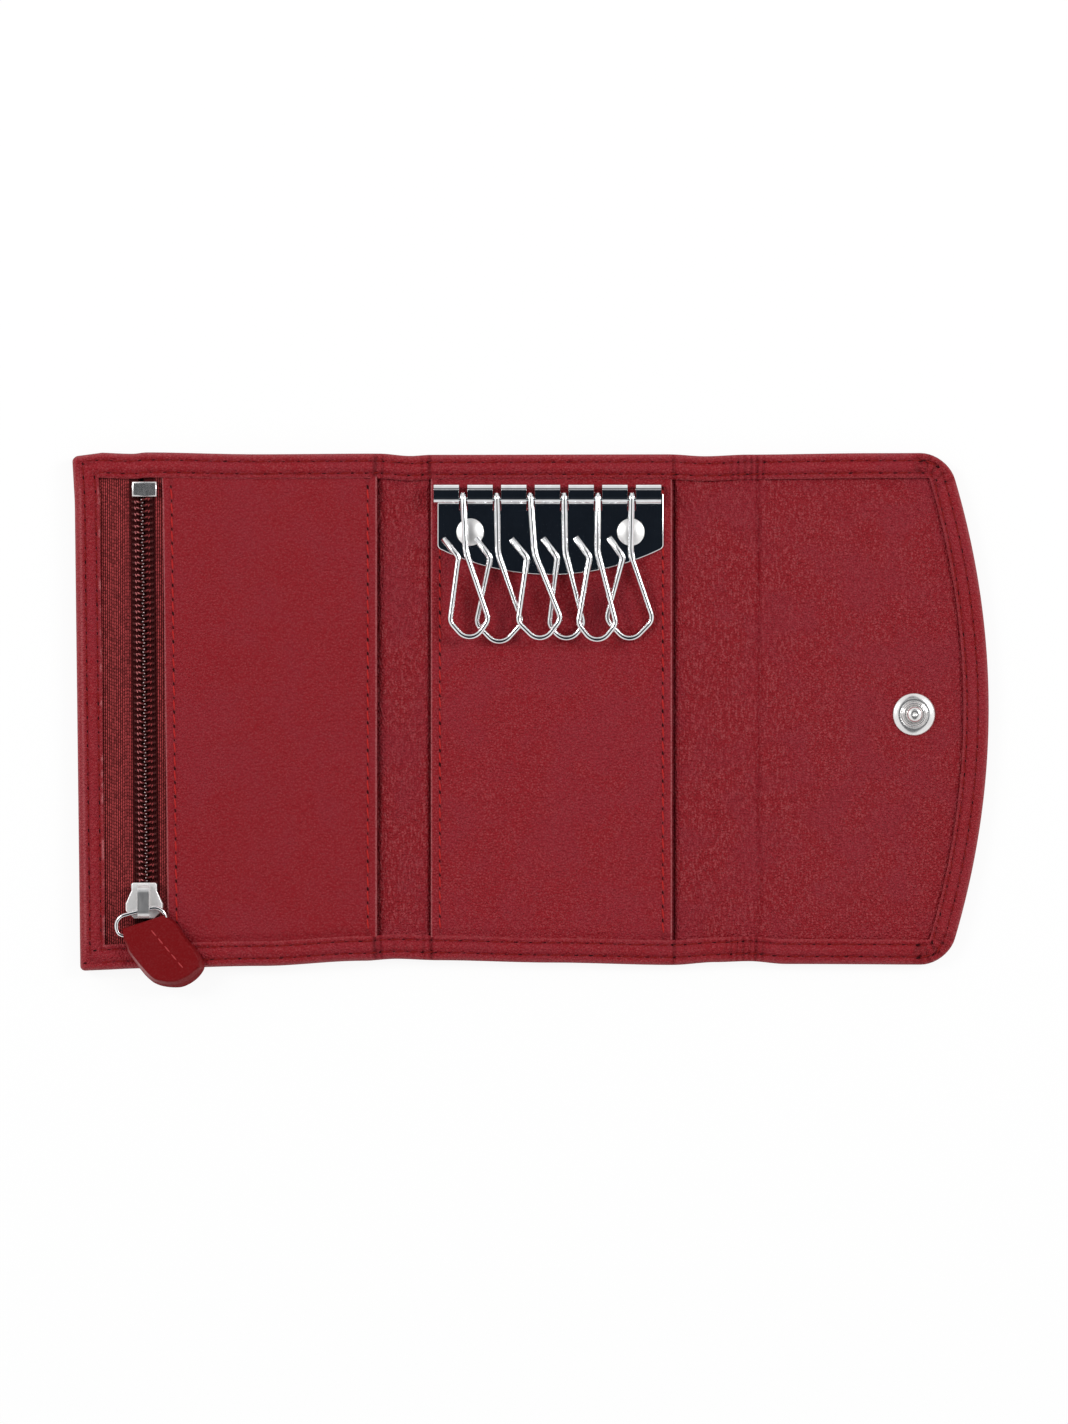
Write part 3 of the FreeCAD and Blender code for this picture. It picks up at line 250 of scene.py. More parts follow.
# Other metal: rounding of edges, that of the stop's long ones and how long these are at least, and the share
# of the slider's height above which it has its bridge's finish
METAL_EDGE = 0.17
STOP_EDGE, STOP_RUN = 0.55, 1.0
BRIDGE_FROM = 0.9

# The snap's stud: radius and height along its section, and how many steps go round it
STUD_SECTION = ((0, 0), (4.3, 0), (4.46, 0.05), (4.5, 0.14), (4.42, 0.26), (4.2, 0.42), (3.9, 0.58),
                (3.55, 0.72), (3.2, 0.8), (2.98, 0.8), (2.84, 0.7), (2.76, 0.58), (2.7, 0.6), (2.66, 0.8),
                (2.58, 1.0), (2.44, 1.1), (2.28, 1.1), (2.08, 1.0), (1.85, 0.8), (1.62, 0.68), (1.5, 0.75),
                (1.5, 0.95), (1.64, 1.15), (1.73, 1.4), (1.73, 1.8), (1.66, 2.15), (1.53, 2.42),
                (1.34, 2.64), (1.1, 2.79), (0.8, 2.88), (0.55, 2.9), (0.4, 2.86), (0.22, 2.72), (0, 2.6))
STUD_STEPS = 72

# Seats of the snap's metal in the leather: how many sides, how far faces round them are opened, and play
SEAT_SIDES = 40
SEAT_MARGIN = 0.4
SEAT_PLAY = 0.06
SOCKET_RADIUS = (SOCKET_HIGH.x - SOCKET_LOW.x) / 2 + SEAT_PLAY
SOCKET_DEEP = SOCKET_HIGH.z + SEAT_PLAY
EYELET_RADIUS = 2.5
CAP_RADIUS = (CAP_HIGH.x - CAP_LOW.x) / 2 + SEAT_PLAY
CAP_DEEP = 0.66

# The pull tab: its edge from the left end of the fold round to the right end, how far its wall leans in
# along that edge, rings as (share of that lean, further inset, share of the thickness), its left wall's
# painted highlight as a band along the edge, how much paler a leaning wall is, from its lighter edge dye and
# a painted highlight, and its sewn line with its stitches
TAB_EDGE = ((-90.9, -46.1), (-90.8, -48.3), (-90.2, -49.9), (-89.7, -51.4), (-88.5, -53.1), (-87.0, -55.0),
            (-85.7, -56.5), (-84.0, -57.8), (-81.7, -58.5), (-78.7, -58.6), (-76.6, -57.8), (-74.9, -56.5),
            (-73.8, -55.0), (-73.65, -54.0), (-74.3, -52.1), (-75.5, -50.2), (-76.6, -49.1), (-77.9, -47.4),
            (-79.8, -44.7), (-82.3, -43.3))
TAB_STEPS = 5
TAB_WALL = ((0, 0.05), (0.1, 0.5), (0.2, 0.7), (0.33, 0.85), (0.42, 1.2), (0.5, 1.7), (0.58, 1.6),
            (0.66, 0.95), (0.76, 0.4), (0.9, 0.25), (1, 0.05))
TAB_FULL_WALL = 0.5
TAB_ROUND = 0.2
TAB_RINGS = ((0, 0, 0.1), (0.42, 0, 0.43), (0.46, 0.16, 0.46), (0.5, 0, 0.49), (0.94, 0, 0.88),
             (1, 0.08, 0.96), (1, 0.25, 1), (1, 0.45, 1))
TAB_PAINTED_HIGHLIGHT = 1.0, 0.24, 0.12
LEAN_EDGE_DYE_AND_HIGHLIGHT, LEAN_START, LEAN_FULL = 0.12, 0.3, 0.6
TAB_SEAM = (-84.9, -46.2), (-78.1, -54.3)
TAB_PITCH, TAB_SUNK = 2.2, 0.05
TAB_STITCH = 0.95, 0.17, 0.12
TAB_THREAD_TINT = 2.2, 0.045

# The studio, in metres: what the camera looks at, the lamps' place and size, the floor's drop and half size.
# Then its tent: half width and half length of its opening, its strip light's place and where it starts and is
# full across and along, as sines from overhead, and its shades from the opening outwards
VIEW_MIDDLE = Vector((-0.0037, -0.0002, 0))
SENSOR = 36
LAMP_PLACE, LAMP_SIZE = (0.62, 0.28, 0.55), 0.3
FLOOR_DROP, FLOOR_HALF = 0.0002, 3
OPENING = 0.42, 0.95
STRIP_AT, STRIP_ACROSS, STRIP_ALONG = 0.47, (0.25, 0.15), (0.09, 0.05)
STRIP_SHADE = (0.55, 0.55, 0.57)
TENT = ((0.0, (0.006, 0.009, 0.014)), (0.36, (0.02, 0.024, 0.03)), (0.45, (0.74, 0.74, 0.75)),
        (0.6, (0.8, 0.8, 0.8)), (1.0, (0.86, 0.86, 0.86)))


def ramp(value, low, high):
    """0 before low, 1 after high, smooth between. Low may be the larger."""
    t = min(max((value - low) / (high - low), 0), 1)
    return t * t * (3 - 2 * t)


def bell(value, middle, width):
    """1 at the middle, fading to 0 on both sides over about two widths."""
    return math.exp(-(((value - middle) / width) ** 2))


def bands(value, *rows):
    """Height at a place of some soft bands, each with its height, middle and width."""
    return sum(height * bell(value, middle, width) for height, middle, width in rows)


def waver(x, y, seed, often, along=None):
    """Smooth noise from about -1 to 1, so often to a millimetre across the case and, if given, along it."""
    return noise.noise((x * often, y * (often if along is None else along), seed))


def follow(points, x):
    """A smooth line through a few (x, value) points, level past its ends."""
    for (x0, v0), (x1, v1) in zip(points, points[1:]):
        if x <= x1:
            return v0 + (v1 - v0) * ramp(x, x0, x1)
    return points[-1][1]


def smooth_line(points, steps):
    """A flowing line through a few points, with so many steps between two of them."""
    spots = [Vector(point) for point in points]
    line = []
    for k, (a, b) in enumerate(zip(spots, spots[1:])):
        before, after = spots[max(k - 1, 0)], spots[min(k + 2, len(spots) - 1)]
        line += interpolate_bezier(a, a + (b - before) / 6, b - (after - a) / 6, b, steps + 1)[:-1]
    return [spot.xy for spot in line + [spots[-1]]]


def lay(x, y, z):
    """Where a point of the square-cut pattern lies in the opened case, as photographed."""
    t = y / HALF
    upper = follow(UPPER_EDGE, x) * (1 + t) / 2
    lower = follow(LOWER_EDGE, x) * (1 - t) / 2
    bow = FLAP_BULGE * (1 - t * t) * ramp(x, BOW_START, BOW_FULL)
    slant = -(PANEL_SLANT * t + CORNER_FLARE * ramp(t, FLARE_FROM, 1)) * ramp(x, SLANT_START, SLANT_FULL)
    return Vector((x + bow + slant, y + upper + lower, z))


def edge_distance(x, y):
    """How far a point of the pattern lies inside the cut edge."""
    to_end, to_side = STRAIGHT_END - x, HALF - abs(y)
    if to_end < FLAP_CORNER and to_side < FLAP_CORNER:
        return FLAP_CORNER - math.hypot(FLAP_CORNER - to_end, FLAP_CORNER - to_side)
    return min(x - LEFT, to_end, to_side)


def hem_level(x):
    """Height of the hem, which is thicker on the left panel than on the rest of the case."""
    start, full = (FOLD["left_outer_fold"] + step for step in HEM_STEP)
    return HEM_TOP + (LEFT_HEM_TOP - HEM_TOP) * ramp(x, start, full)


def on_left(x, y):
    """Whether a place lies in the hem's left side, rather than in a long side."""
    return x - LEFT < HALF - abs(y)


def pleats(x, y):
    """Gathers that fan out where the hem turns round the flap's corners."""
    across = x - (STRAIGHT_END - FLAP_CORNER)
    up = abs(y) - (HALF - FLAP_CORNER)
    if min(across, up) < -PLEAT_MARGIN:
        return 0
    angle = math.degrees(math.atan2(up + PLEAT_MARGIN, across + PLEAT_MARGIN))
    reach = ramp(math.hypot(across, up), PLEAT_START, PLEAT_FULL)
    return -reach * bands(angle, *((depth, at, PLEAT_SPREAD) for depth, at in PLEATS))


def sewn(x, y):
    """1 on the hem's sewn rows, fading to 0 beside them."""
    which = 1 if on_left(x, y) else 2 if STRAIGHT_END - x < HALF - abs(y) else 0
    return bands(edge_distance(x, y), *((1, row[which], ROW_SPREAD) for row in STITCH_ROWS))


def hem_creases(x, y):
    """Depth of the upright creases that the folds leave in the long sides' hem."""
    if on_left(x, y):
        return 0
    return bands(x + CREASE_WANDER * waver(x, y, 1.7, 0.2, 0.12), *HEM_CREASES)


def hem_wear_and_shade(x, y):
    """The hem's wear, above 0 along its edges, and its painted shade, below 0 along its rows, creases and pleats.
    """
    edge = edge_distance(x, y)
    streak = bands(x - LEFT, LEFT_STREAK) * ramp(abs(y), HALF - STREAK_START, HALF - STREAK_FULL)
    patches = LEAST_PATCH + PATCHES * ramp(waver(x, y, 7.7, 0.5), 0.05, 0.4)
    inner = bands(edge, INNER_RUB) * (patches if on_left(x, y) else FAINT_RUB)
    # Painted shade: the rows, creases and pleats are darkened in colour
    dark = ROW_DARK * sewn(x, y) + CREASE_DARK * hem_creases(x, y) - PLEAT_DARK * pleats(x, y)
    return inner + bands(edge, OUTER_RUB) + streak - dark


def hem_relief(x, y):
    """Rise of the hem's face: puffed between the sewn rows, drawn in along them, creased at the folds."""
    edge = edge_distance(x, y)
    pucker = sum(high * waver(x, y, 3.1, often) for often, high in HEM_PUCKERS)
    rise = bands(edge, HEM_PUFF) - ROW_DEPTH * sewn(x, y) + pucker - HEM_ROLL * ramp(edge, ROLL_FROM, HEM)
    return rise - hem_creases(x, y) + pleats(x, y)


def lining_relief(x, y):
    """Soft upright creases in the thin leather of the spines and the flap, and grooves beside the panels."""
    wrinkled = max(ramp(x, start, full) * ramp(x, end, until) for start, full, until, end in WRINKLED)
    fine = waver(x, y, 4.4, 1.1, 0.05) + FINER_SHARE * waver(x, y, 9.2, 2.1, 0.09)
    broad = waver(x, y, 2.5, 0.09, 0.07)
    wander = FLAP_WANDER * noise.noise((0.3, y * 0.06, 5.1))
    return WRINKLE * fine * wrinkled + SWELL * broad + bands(x + wander, *FLAP_CREASES) - bands(x, *GROOVES)


def lining_painted_shade(x, y):
    """Painted shade: how much darker the linings are coloured where they dip beside the panels."""
    return -bands(x, *GROOVES)


def panel_level(x, y, low, high, lift):
    """Height of a panel's face: rolled sides, drawn-in sewn rows, tucked ends and a raised right side."""
    side = min(x - low.x, high.x - x)
    rolled = PANEL_ROLL * (1 - min(side / ROLL_WIDTH, 1)) ** 2
    tucked = ramp(abs(y), PANEL_REACH - TUCK_START, PANEL_REACH - TUCK_FULL)
    raised = lift * ramp(x, high.x - RAISED_WIDTH, high.x) * (1 - tucked)
    uneven = PANEL_SWELL * waver(x, y, 6.3, 0.08) + PANEL_DENTS * waver(x, y, 1.2, 0.4)
    return high.z - rolled - bands(side, PANEL_DRAWN) - PANEL_TUCK * tucked + raised + uneven


def stations(start, end, step, edges=()):
    """Even places from start to end, with closer ones at the given distances from both ends."""
    count = max(1, round((end - start) / step))
    even = [start + (end - start) * k / count for k in range(count + 1)]
    close = [start + gap for gap in edges] + [end - gap for gap in edges]
    reach = max(edges, default=0) + step / 3
    return sorted(close + [p for p in even if p in (even[0], even[-1]) or start + reach < p < end - reach])


def leaf(xs, ys, surface, thick, worn=None):
    """A closed sheet over a grid of places. surface gives a place's point, and the last function its wear, painted
    highlight and painted shade.
    """
    bm = bmesh.new()
    rub_and_painted_light = bm.verts.layers.float.new("worn")
    bmesh.ops.create_grid(bm, x_segments=len(xs) - 1, y_segments=len(ys) - 1, size=1)
    for vert in bm.verts:
        x = xs[round((vert.co.x + 1) / 2 * (len(xs) - 1))]
        y = ys[round((vert.co.y + 1) / 2 * (len(ys) - 1))]
        vert.co = surface(x, y)
        vert[rub_and_painted_light] = worn(x, y) if worn else 0
    lower = bmesh.ops.extrude_face_region(bm, geom=bm.faces[:])["geom"]
    below = [item for item in lower if isinstance(item, bmesh.types.BMVert)]
    bmesh.ops.translate(bm, vec=(0, 0, -thick), verts=below)
    return bm


def grow(bm, face):
    """Extrudes one face of a solid and returns the new one, which still lies in the old one's place."""
    out = bmesh.ops.extrude_face_region(bm, geom=[face, *face.edges])["geom"]
    return next(item for item in out if isinstance(item, bmesh.types.BMFace))


def make_piece(name, bm, materials, slot, *nodes):
    """Makes an object of a mesh in millimetres, in place of the given CAD nodes."""
    bmesh.ops.recalc_face_normals(bm, faces=bm.faces)
    mesh = bpy.data.meshes.new(name)
    pattern = bm.verts.layers.float_vector.new("pattern")
    for vert in bm.verts:
        vert[pattern] = vert.co
    bmesh.ops.scale(bm, vec=(MM, MM, MM), verts=bm.verts)
    bm.to_mesh(mesh)
    bm.free()
    for material in materials:
        mesh.materials.append(material)
    mesh.shade_smooth()
    mesh.set_sharp_from_angle(angle=SHARP)
    piece = bpy.data.objects.new(name, mesh)
    bpy.context.scene.collection.objects.link(piece)
    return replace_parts(piece, *nodes) if nodes else piece


def seat(bm, middle, rings, through):
    """Sinks a round seat into a flat face, by rings of radius and level. Through opens its far face too."""
    turns = [2 * math.pi * k / SEAT_SIDES for k in range(SEAT_SIDES)]
    ways = [Vector((math.cos(turn), math.sin(turn))) for turn in turns]
    loops = [[bm.verts.new((*(middle.xy + radius * way), level)) for way in ways] for radius, level in rings]
    ends = zip((loops[0], loops[-1]), (rings[0], rings[-1])) if through else ((loops[0], rings[0]),)
    for loop, (radius, level) in ends:
        faces = [face for face in bm.faces if meets(face, middle, radius, level)]
        if len(faces) > 1:
            faces = bmesh.ops.dissolve_faces(bm, faces=faces, use_verts=True)["region"]
        rim = faces[0].edges[:] + [bm.edges.new((loop[k - 1], loop[k])) for k in range(SEAT_SIDES)]
        bmesh.ops.delete(bm, geom=faces, context="FACES_ONLY")
        bmesh.ops.triangle_fill(bm, use_beauty=True, use_dissolve=False, edges=rim)
    for outer, inner in zip(loops, loops[1:]):
        for k in range(SEAT_SIDES):
            bm.faces.new((outer[k - 1], outer[k], inner[k], inner[k - 1]))
    if not through:
        bm.faces.new(loops[-1])


def meets(face, middle, radius, level):
    """Whether a flat face at this level comes within the radius of a place."""
    spots = [vert.co for vert in face.verts]
    if any(abs(spot.z - level) > NEAR for spot in spots):
        return False
    return all(min(spot[k] for spot in spots) < middle[k] + radius + SEAT_MARGIN
               and max(spot[k] for spot in spots) > middle[k] - radius - SEAT_MARGIN for k in range(2))


def bend(piece, joint, near_body, far_body, sign):
    """Bakes a piece's place into its mesh; nothing here turns it with the fold. near_body is not used."""
    x = FOLD[joint] * MM
    reach = FOLD_REACH * MM * sign
    x - reach
    x + reach
    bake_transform(piece)


def bent_line(corners, bends):
    """Places and headings along a line with rounded bends, as many on each straight and each bend."""
    spots = [Vector(corner) for corner in corners]
    line, start = [], spots[0]
    for before, corner, after, radius in zip(spots, spots[1:], spots[2:], bends):
        way_in, way_out = (corner - before).normalized(), (after - corner).normalized()
        turn = way_in.angle_signed(way_out)
        reach = radius * math.tan(abs(turn) / 2)
        first = corner - way_in * reach
        heading = math.atan2(way_in.y, way_in.x)
        line += [(start.lerp(first, k / BEND_STEPS), heading) for k in range(BEND_STEPS)]
        side = Vector((-way_in.y, way_in.x)) * math.copysign(radius, -turn)
        for k in range(BEND_STEPS):
            share = -turn * k / BEND_STEPS
            line.append((first + side - Matrix.Rotation(share, 2) @ side, heading + share))
        start = corner + way_out * reach
    heading = math.atan2(way_out.y, way_out.x)
    return line + [(start.lerp(spots[-1], k / BEND_STEPS), heading) for k in range(BEND_STEPS + 1)]


def hook_loop(wide, corner, tip, bends):
    """Places along a hook's loop, from its half width and the levels of its corners and its tip."""
    return bent_line((HOOK_START, (wide, corner), (0, tip), (-wide, corner), HOOK_END), bends)


def shape_hook(bm, number):
    """Gives a hook's loop the tighter bends and the width that this one has in the photograph."""
    joint = next(joint for joint in frame["joints"] if joint["name"] == f"hook_{number}_lift")
    pin = Vector(joint["pos_m"]) / MM
    lean, slope = HOOK_LEANS[number - 1], HOOK_SLOPES[number % 2]
    place = Matrix.Translation(pin) @ Matrix.Rotation(math.radians(lean), 4, "Z")
    place @= Matrix.Rotation(math.radians(slope), 4, "X")
    back = place.inverted()
    wide, drop = HOOK_FORMS[number - 1]
    plain = hook_loop(*CAD_LOOP)
    seen = hook_loop(wide, SEEN_CORNER - drop, SEEN_TIP - drop, SEEN_BENDS)
    for vert in bm.verts:
        spot = back @ vert.co
        flat = spot.xy
        if flat.y > HOOK_KEPT:
            continue
        (here, old), (there, new) = min(zip(plain, seen), key=lambda pair: (pair[0][0] - flat).length_squared)
        moved = there + Matrix.Rotation(new - old, 2) @ (flat - here)
        vert.co = place @ Vector((*moved, spot.z))


def polished(node, materials, slot):
    """A copy of a metal CAD node. Flat faces mirror as one and edges are rounded, but wire stays as it is.

    A second material goes on the upper faces.
    """
    bm = bmesh.new()
    bm.from_mesh(frame["nodes"][node].data)
    bmesh.ops.scale(bm, vec=(1 / MM, 1 / MM, 1 / MM), verts=bm.verts)
    bmesh.ops.remove_doubles(bm, verts=bm.verts, dist=WELD)
    wire = node in WIRES
    if node.startswith("key_hook"):
        shape_hook(bm, int(node[-1]))
    if not wire:
        bmesh.ops.dissolve_limit(bm, angle_limit=FLAT, verts=bm.verts, edges=bm.edges)
        sharp = [edge for edge in bm.edges if len(edge.link_faces) == 2 and edge.calc_face_angle() > SHARP]
        size = METAL_EDGE
        if node == "zip_bottom_stop":
            size = STOP_EDGE
            sharp = [edge for edge in sharp if abs(edge.verts[0].co.y - edge.verts[1].co.y) > STOP_RUN]
        bmesh.ops.bevel(bm, geom=sharp, affect="EDGES", offset=size, segments=3, profile=0.5, material=-1,
                        clamp_overlap=True)
    if len(materials) > 1:
        low, high = node_box(node)
        for face in bm.faces:
            face.material_index = int(face.calc_center_median().z > low.z + BRIDGE_FROM * (high.z - low.z))
    piece = make_piece(node + "_metal", bm, materials, slot, node)
    if not wire:
        flat = piece.modifiers.new("flat_faces", "WEIGHTED_NORMAL")
        flat.keep_sharp = True
    body = next(body for body, nodes in frame["record"]["behaviour"]["bodies"].items() if node in nodes)
    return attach(piece, body)


def turned_stud():
    """The snap's stud, turned with a sloping flange and rounded rings."""
    low, high = node_box("snap_stud")
    middle = (low + high) / 2
    bm = bmesh.new()
    line = [bm.verts.new((middle.x + radius, middle.y, low.z + rise)) for radius, rise in STUD_SECTION]
    edges = [bm.edges.new(pair) for pair in zip(line, line[1:])]
    bmesh.ops.spin(bm, geom=line + edges, cent=(middle.x, middle.y, 0), axis=(0, 0, 1), angle=2 * math.pi,
                   steps=STUD_STEPS, use_merge=True)
    bmesh.ops.remove_doubles(bm, verts=bm.verts, dist=WELD)
    return bm


class Shade:
    """One output of a material's nodes. Arithmetic on it adds Math nodes."""

    def __init__(self, tree, socket):
        self.tree = tree
        self.socket = socket

    def node(self, kind, settings=None, sockets=None, output=0):
        """Adds a node: its settings first, then the values or links of its sockets."""
        node = self.tree.nodes.new(kind)
        for key, value in (settings or {}).items():
            if key == "stops":
                ramp_stops = node.color_ramp.elements
                while len(ramp_stops) < len(value):
                    ramp_stops.new(1)
                for stop, (place, colour) in zip(ramp_stops, value):
                    stop.position = place
                    stop.color = (*colour, 1)
            else:
                setattr(node, key, value)
        for key, value in (sockets or {}).items():
            if isinstance(value, Shade):
                self.tree.links.new(value.socket, node.inputs[key])
            else:
                node.inputs[key].default_value = value
        return Shade(self.tree, node.outputs[output])

    def maths(self, operation, first, second=0.0):
        """Adds a Math node for one or two values."""
        return self.node("ShaderNodeMath", {"operation": operation}, {0: first, 1: second})

    def __add__(self, other):
        return self.maths("ADD", self, other)

    def __radd__(self, other):
        return self.maths("ADD", other, self)

    def __sub__(self, other):
        return self.maths("SUBTRACT", self, other)

    def __rsub__(self, other):
        return self.maths("SUBTRACT", other, self)

    def __mul__(self, other):
        return self.maths("MULTIPLY", self, other)

    def __rmul__(self, other):
        return self.maths("MULTIPLY", other, self)

    def __truediv__(self, other):
        return self.maths("DIVIDE", self, other)

    def __rtruediv__(self, other):
        return self.maths("DIVIDE", other, self)

    def mixed(self, low, high):
        """A colour between two, by this value."""
        settings = {"data_type": "RGBA", "clamp_factor": True}
        low, high = (c if isinstance(c, Shade) else (*c, 1) for c in (low, high))
        return self.node("ShaderNodeMix", settings, {0: self, 6: low, 7: high}, 2)

    def attribute(self, name, output):
        """A value that the mesh carries: output 1 is a vector, 2 a number."""
        return self.node("ShaderNodeAttribute", {"attribute_name": name}, output=output)

    def parts(self):
        """The X and Y of this vector."""
        x = self.node("ShaderNodeSeparateXYZ", {}, {0: self})
        return x, Shade(self.tree, x.socket.node.outputs[1])

    def noise(self, scale, detail=3.0, stretch=(1, 1, 1)):
        """Cloudy noise of this vector, from 0 to 1."""
        place = self.node("ShaderNodeVectorMath", {"operation": "MULTIPLY"}, {0: self, 1: stretch})
        return self.node("ShaderNodeTexNoise", {}, {"Vector": place, "Scale": scale, "Detail": detail})

    def cells(self, scale):
        """Distance in a cell pattern of this vector."""
        return self.node("ShaderNodeTexVoronoi", {"feature": "F1"}, {"Vector": self, "Scale": scale})

    def size(self):
        """This value without its sign."""
        return self.maths("ABSOLUTE", self)

    def wave(self):
        """A row of humps from 0 to 1, one to each whole step of this value."""
        return self.maths("SINE", self * math.pi).size()

    def bump(self, strength, distance):
        """A normal that follows this height."""
        sockets = {"Strength": strength, "Distance": distance, "Height": self}
        return self.node("ShaderNodeBump", {}, sockets)

    def between(self, low, high):
        """This value spread from 0 at low to 1 at high."""
        sockets = {0: self, 1: low, 2: high, 3: 0.0, 4: 1.0}
        return self.node("ShaderNodeMapRange", {"interpolation_type": "SMOOTHSTEP"}, sockets)


def tinted(colour, factor, grey=0.0):
    """A colour made lighter or darker by a factor, and paler by a grey."""
    return tuple(min(channel * factor + grey, 1) for channel in colour)


def new_material(name):
    """A material with one surface shader. Returns it, its start for further nodes and its shader."""
    material = bpy.data.materials.new(name)
    material.use_nodes = True
    tree = material.node_tree
    shader = tree.nodes["Principled BSDF"]
    return material, Shade(tree, shader.outputs[0]), shader


def plug(shader, **sockets):
    """Sets or links the shader's sockets. An underscore in a name stands for a space."""
    for key, value in sockets.items():
        socket = shader.inputs[key.replace("_", " ")]
        if isinstance(value, Shade):
            value.tree.links.new(value.socket, socket)
        else:
            socket.default_value = value


def leather_material(name, colour, wrinkled=0.0, grain=1.0, sheen=0.24):
    """Dyed leather with a fine grain and upright wrinkles, whose raised parts carry painted glints, edges with
    wear and painted highlights, and painted shade in creases.
    """
    material, start, shader = new_material(name)
    place = start.attribute("pattern", 1)
    worn = start.attribute("worn", 2)
    pebble = place.cells(2.3)
    fine = place.noise(2.5, 3)
    cloud = place.noise(0.13, 2)
    streak = place.noise(2.2, 3, (1, 0.3, 1))
    across, _ = place.parts()
    wrinkles = wrinkled * (0.55 + 0.45 * across.between(FLAP_SMOOTH, GUSSET_END))
    height = grain * (0.6 * pebble + 0.6 * fine) + 1.6 * wrinkles * streak
    # Painted glints: the tone follows raised grain and wrinkle ridges, coloured towards a paler glint
    tone = 0.08 * cloud + 0.6 * fine + 0.3 * (1 - pebble) + 1.1 * wrinkles * (streak - 0.5)
    painted_glint = tinted(colour, 1 + 0.09 * grain, 0.021 * grain)
    base = tone.between(0.42, 0.7).mixed(tinted(colour, 1 - 0.03 * grain), painted_glint)
    faded = (0.96 * colour[0], 0.006 + 1.6 * colour[1], 0.01 + 1.3 * colour[2])
    base = (0.3 * grain * cloud.between(0.4, 0.66)).mixed(base, faded)
    # Above 0 the vertex value lightens: real rub, and painted highlights on the panels' sides and tab walls
    rub_and_painted_light = worn * fine.between(0.2, 0.55)
    base = rub_and_painted_light.mixed(base, tinted(colour, 1.3, 0.12))
    # Below 0 it darkens: painted shade in the hem's rows, creases and pleats, panel rows and lining grooves
    base = (0 - worn).mixed(base, tinted(colour, 0.2))
    plug(shader, Base_Color=base, Roughness=0.42 + 0.2 * fine, Normal=height.bump(1.0, 0.0003),
         Specular_IOR_Level=sheen)
    return material


def thread_material(name, colour):
    """Twisted sewing thread."""
    material, start, shader = new_material(name)
    place = start.attribute("pattern", 1)
    ply = place.noise(5.0, 2)
    base = ply.mixed(tinted(colour, 0.75), tinted(colour, 1.2))
    plug(shader, Base_Color=base, Roughness=0.7 + 0.1 * ply, Normal=ply.bump(0.4, 0.0001),
         Specular_IOR_Level=0.1)
    return material


def woven_material(name, colour):
    """Zip tape and pocket cloth: upright columns broken into short dashes, with painted highlight and shade
    on the threads, and a painted shadow under the zip's coils.
    """
    material, start, shader = new_material(name)
    place = start.attribute("pattern", 1)
    x, y = place.parts()
    fuzz = place.noise(2.6, 3)
    column = start.maths("FLOOR", x / RIB_COLUMN)
    upright = (x / RIB_COLUMN).wave()
    shift = start.node("ShaderNodeTexWhiteNoise", {"noise_dimensions": "1D"}, {"W": column})
    row = y / RIB_PITCH + shift + 0.7 * fuzz
    dash = start.node("ShaderNodeCombineXYZ", {}, {0: column, 1: start.maths("FLOOR", row)})
    dash = start.node("ShaderNodeTexWhiteNoise", {"noise_dimensions": "2D"}, {"Vector": dash})
    height = upright * (0.45 + 0.55 * row.wave()) + 0.4 * fuzz
    # Painted highlight and shade: the weave is coloured lighter on raised threads and darker in the gaps
    painted_shine = height.between(0.45, 1.0) * (0.5 + 0.8 * dash)
    base = painted_shine.mixed(tinted(colour, 0.2), tinted(colour, 1.6, 0.034))
    # Painted shadow: the tape is coloured darker under the coils
    beside = (x + y * (PANEL_SLANT / HALF) - ZIP_LINE).size()
    base = beside.between(*COIL_SHADE).mixed(tinted(colour, 0.2), base)
    plug(shader, Base_Color=base, Roughness=0.8 + 0.1 * fuzz, Normal=height.bump(0.9, 0.00022),
         Specular_IOR_Level=0.15)
    return material


def plastic_material(name, colour):
    """Matt moulded plastic."""
    material, start, shader = new_material(name)
    place = start.attribute("pattern", 1)
    cloud = place.noise(1.4, 3)
    base = cloud.between(0.3, 0.7).mixed(tinted(colour, 0.7), tinted(colour, 1.35))
    plug(shader, Base_Color=base, Roughness=0.5 + 0.16 * cloud, Specular_IOR_Level=0.15)
    return material


def metal_material(name, colour, roughness, haze, metallic=1.0):
    """Plated metal: polished when roughness is low, satin when it is higher, with faint scuffs."""
    material, start, shader = new_material(name)
    place = start.attribute("pattern", 1)
    cloud = place.noise(0.35, 4)
    scuff = place.noise(2.2, 3, (1, 0.25, 1))
    base = cloud.between(0.35, 0.7).mixed(tinted(colour, 0.93), tinted(colour, 1.04))
    plug(shader, Base_Color=base, Metallic=metallic, Roughness=roughness + haze * scuff,
         Normal=scuff.bump(0.06, 0.0001))
    return material


class LeatherSettings(bpy.types.PropertyGroup):
    """Leather, thread and stitches"""

    colour: FloatVectorProperty(name="Leather", description="Colour of the leather", subtype="COLOR",
                                default=(0.245, 0.0028, 0.009))
    tab_colour: FloatVectorProperty(name="Tab", description="Colour of the zip's pull tab", subtype="COLOR",
                                    default=(0.162, 0.0011, 0.0028))
    thread_colour: FloatVectorProperty(name="Thread", description="Colour of the panels' sewing thread",
                                       subtype="COLOR", default=(0.42, 0.018, 0.017))
    stitch_pitch: FloatProperty(name="Stitch", description="Length from one stitch to the next",
                                unit="LENGTH", default=0.003, min=0.001)
    thread_width: FloatProperty(name="Thread width", description="Width of the sewing thread",
                                unit="LENGTH", default=0.0004, min=0.0001)


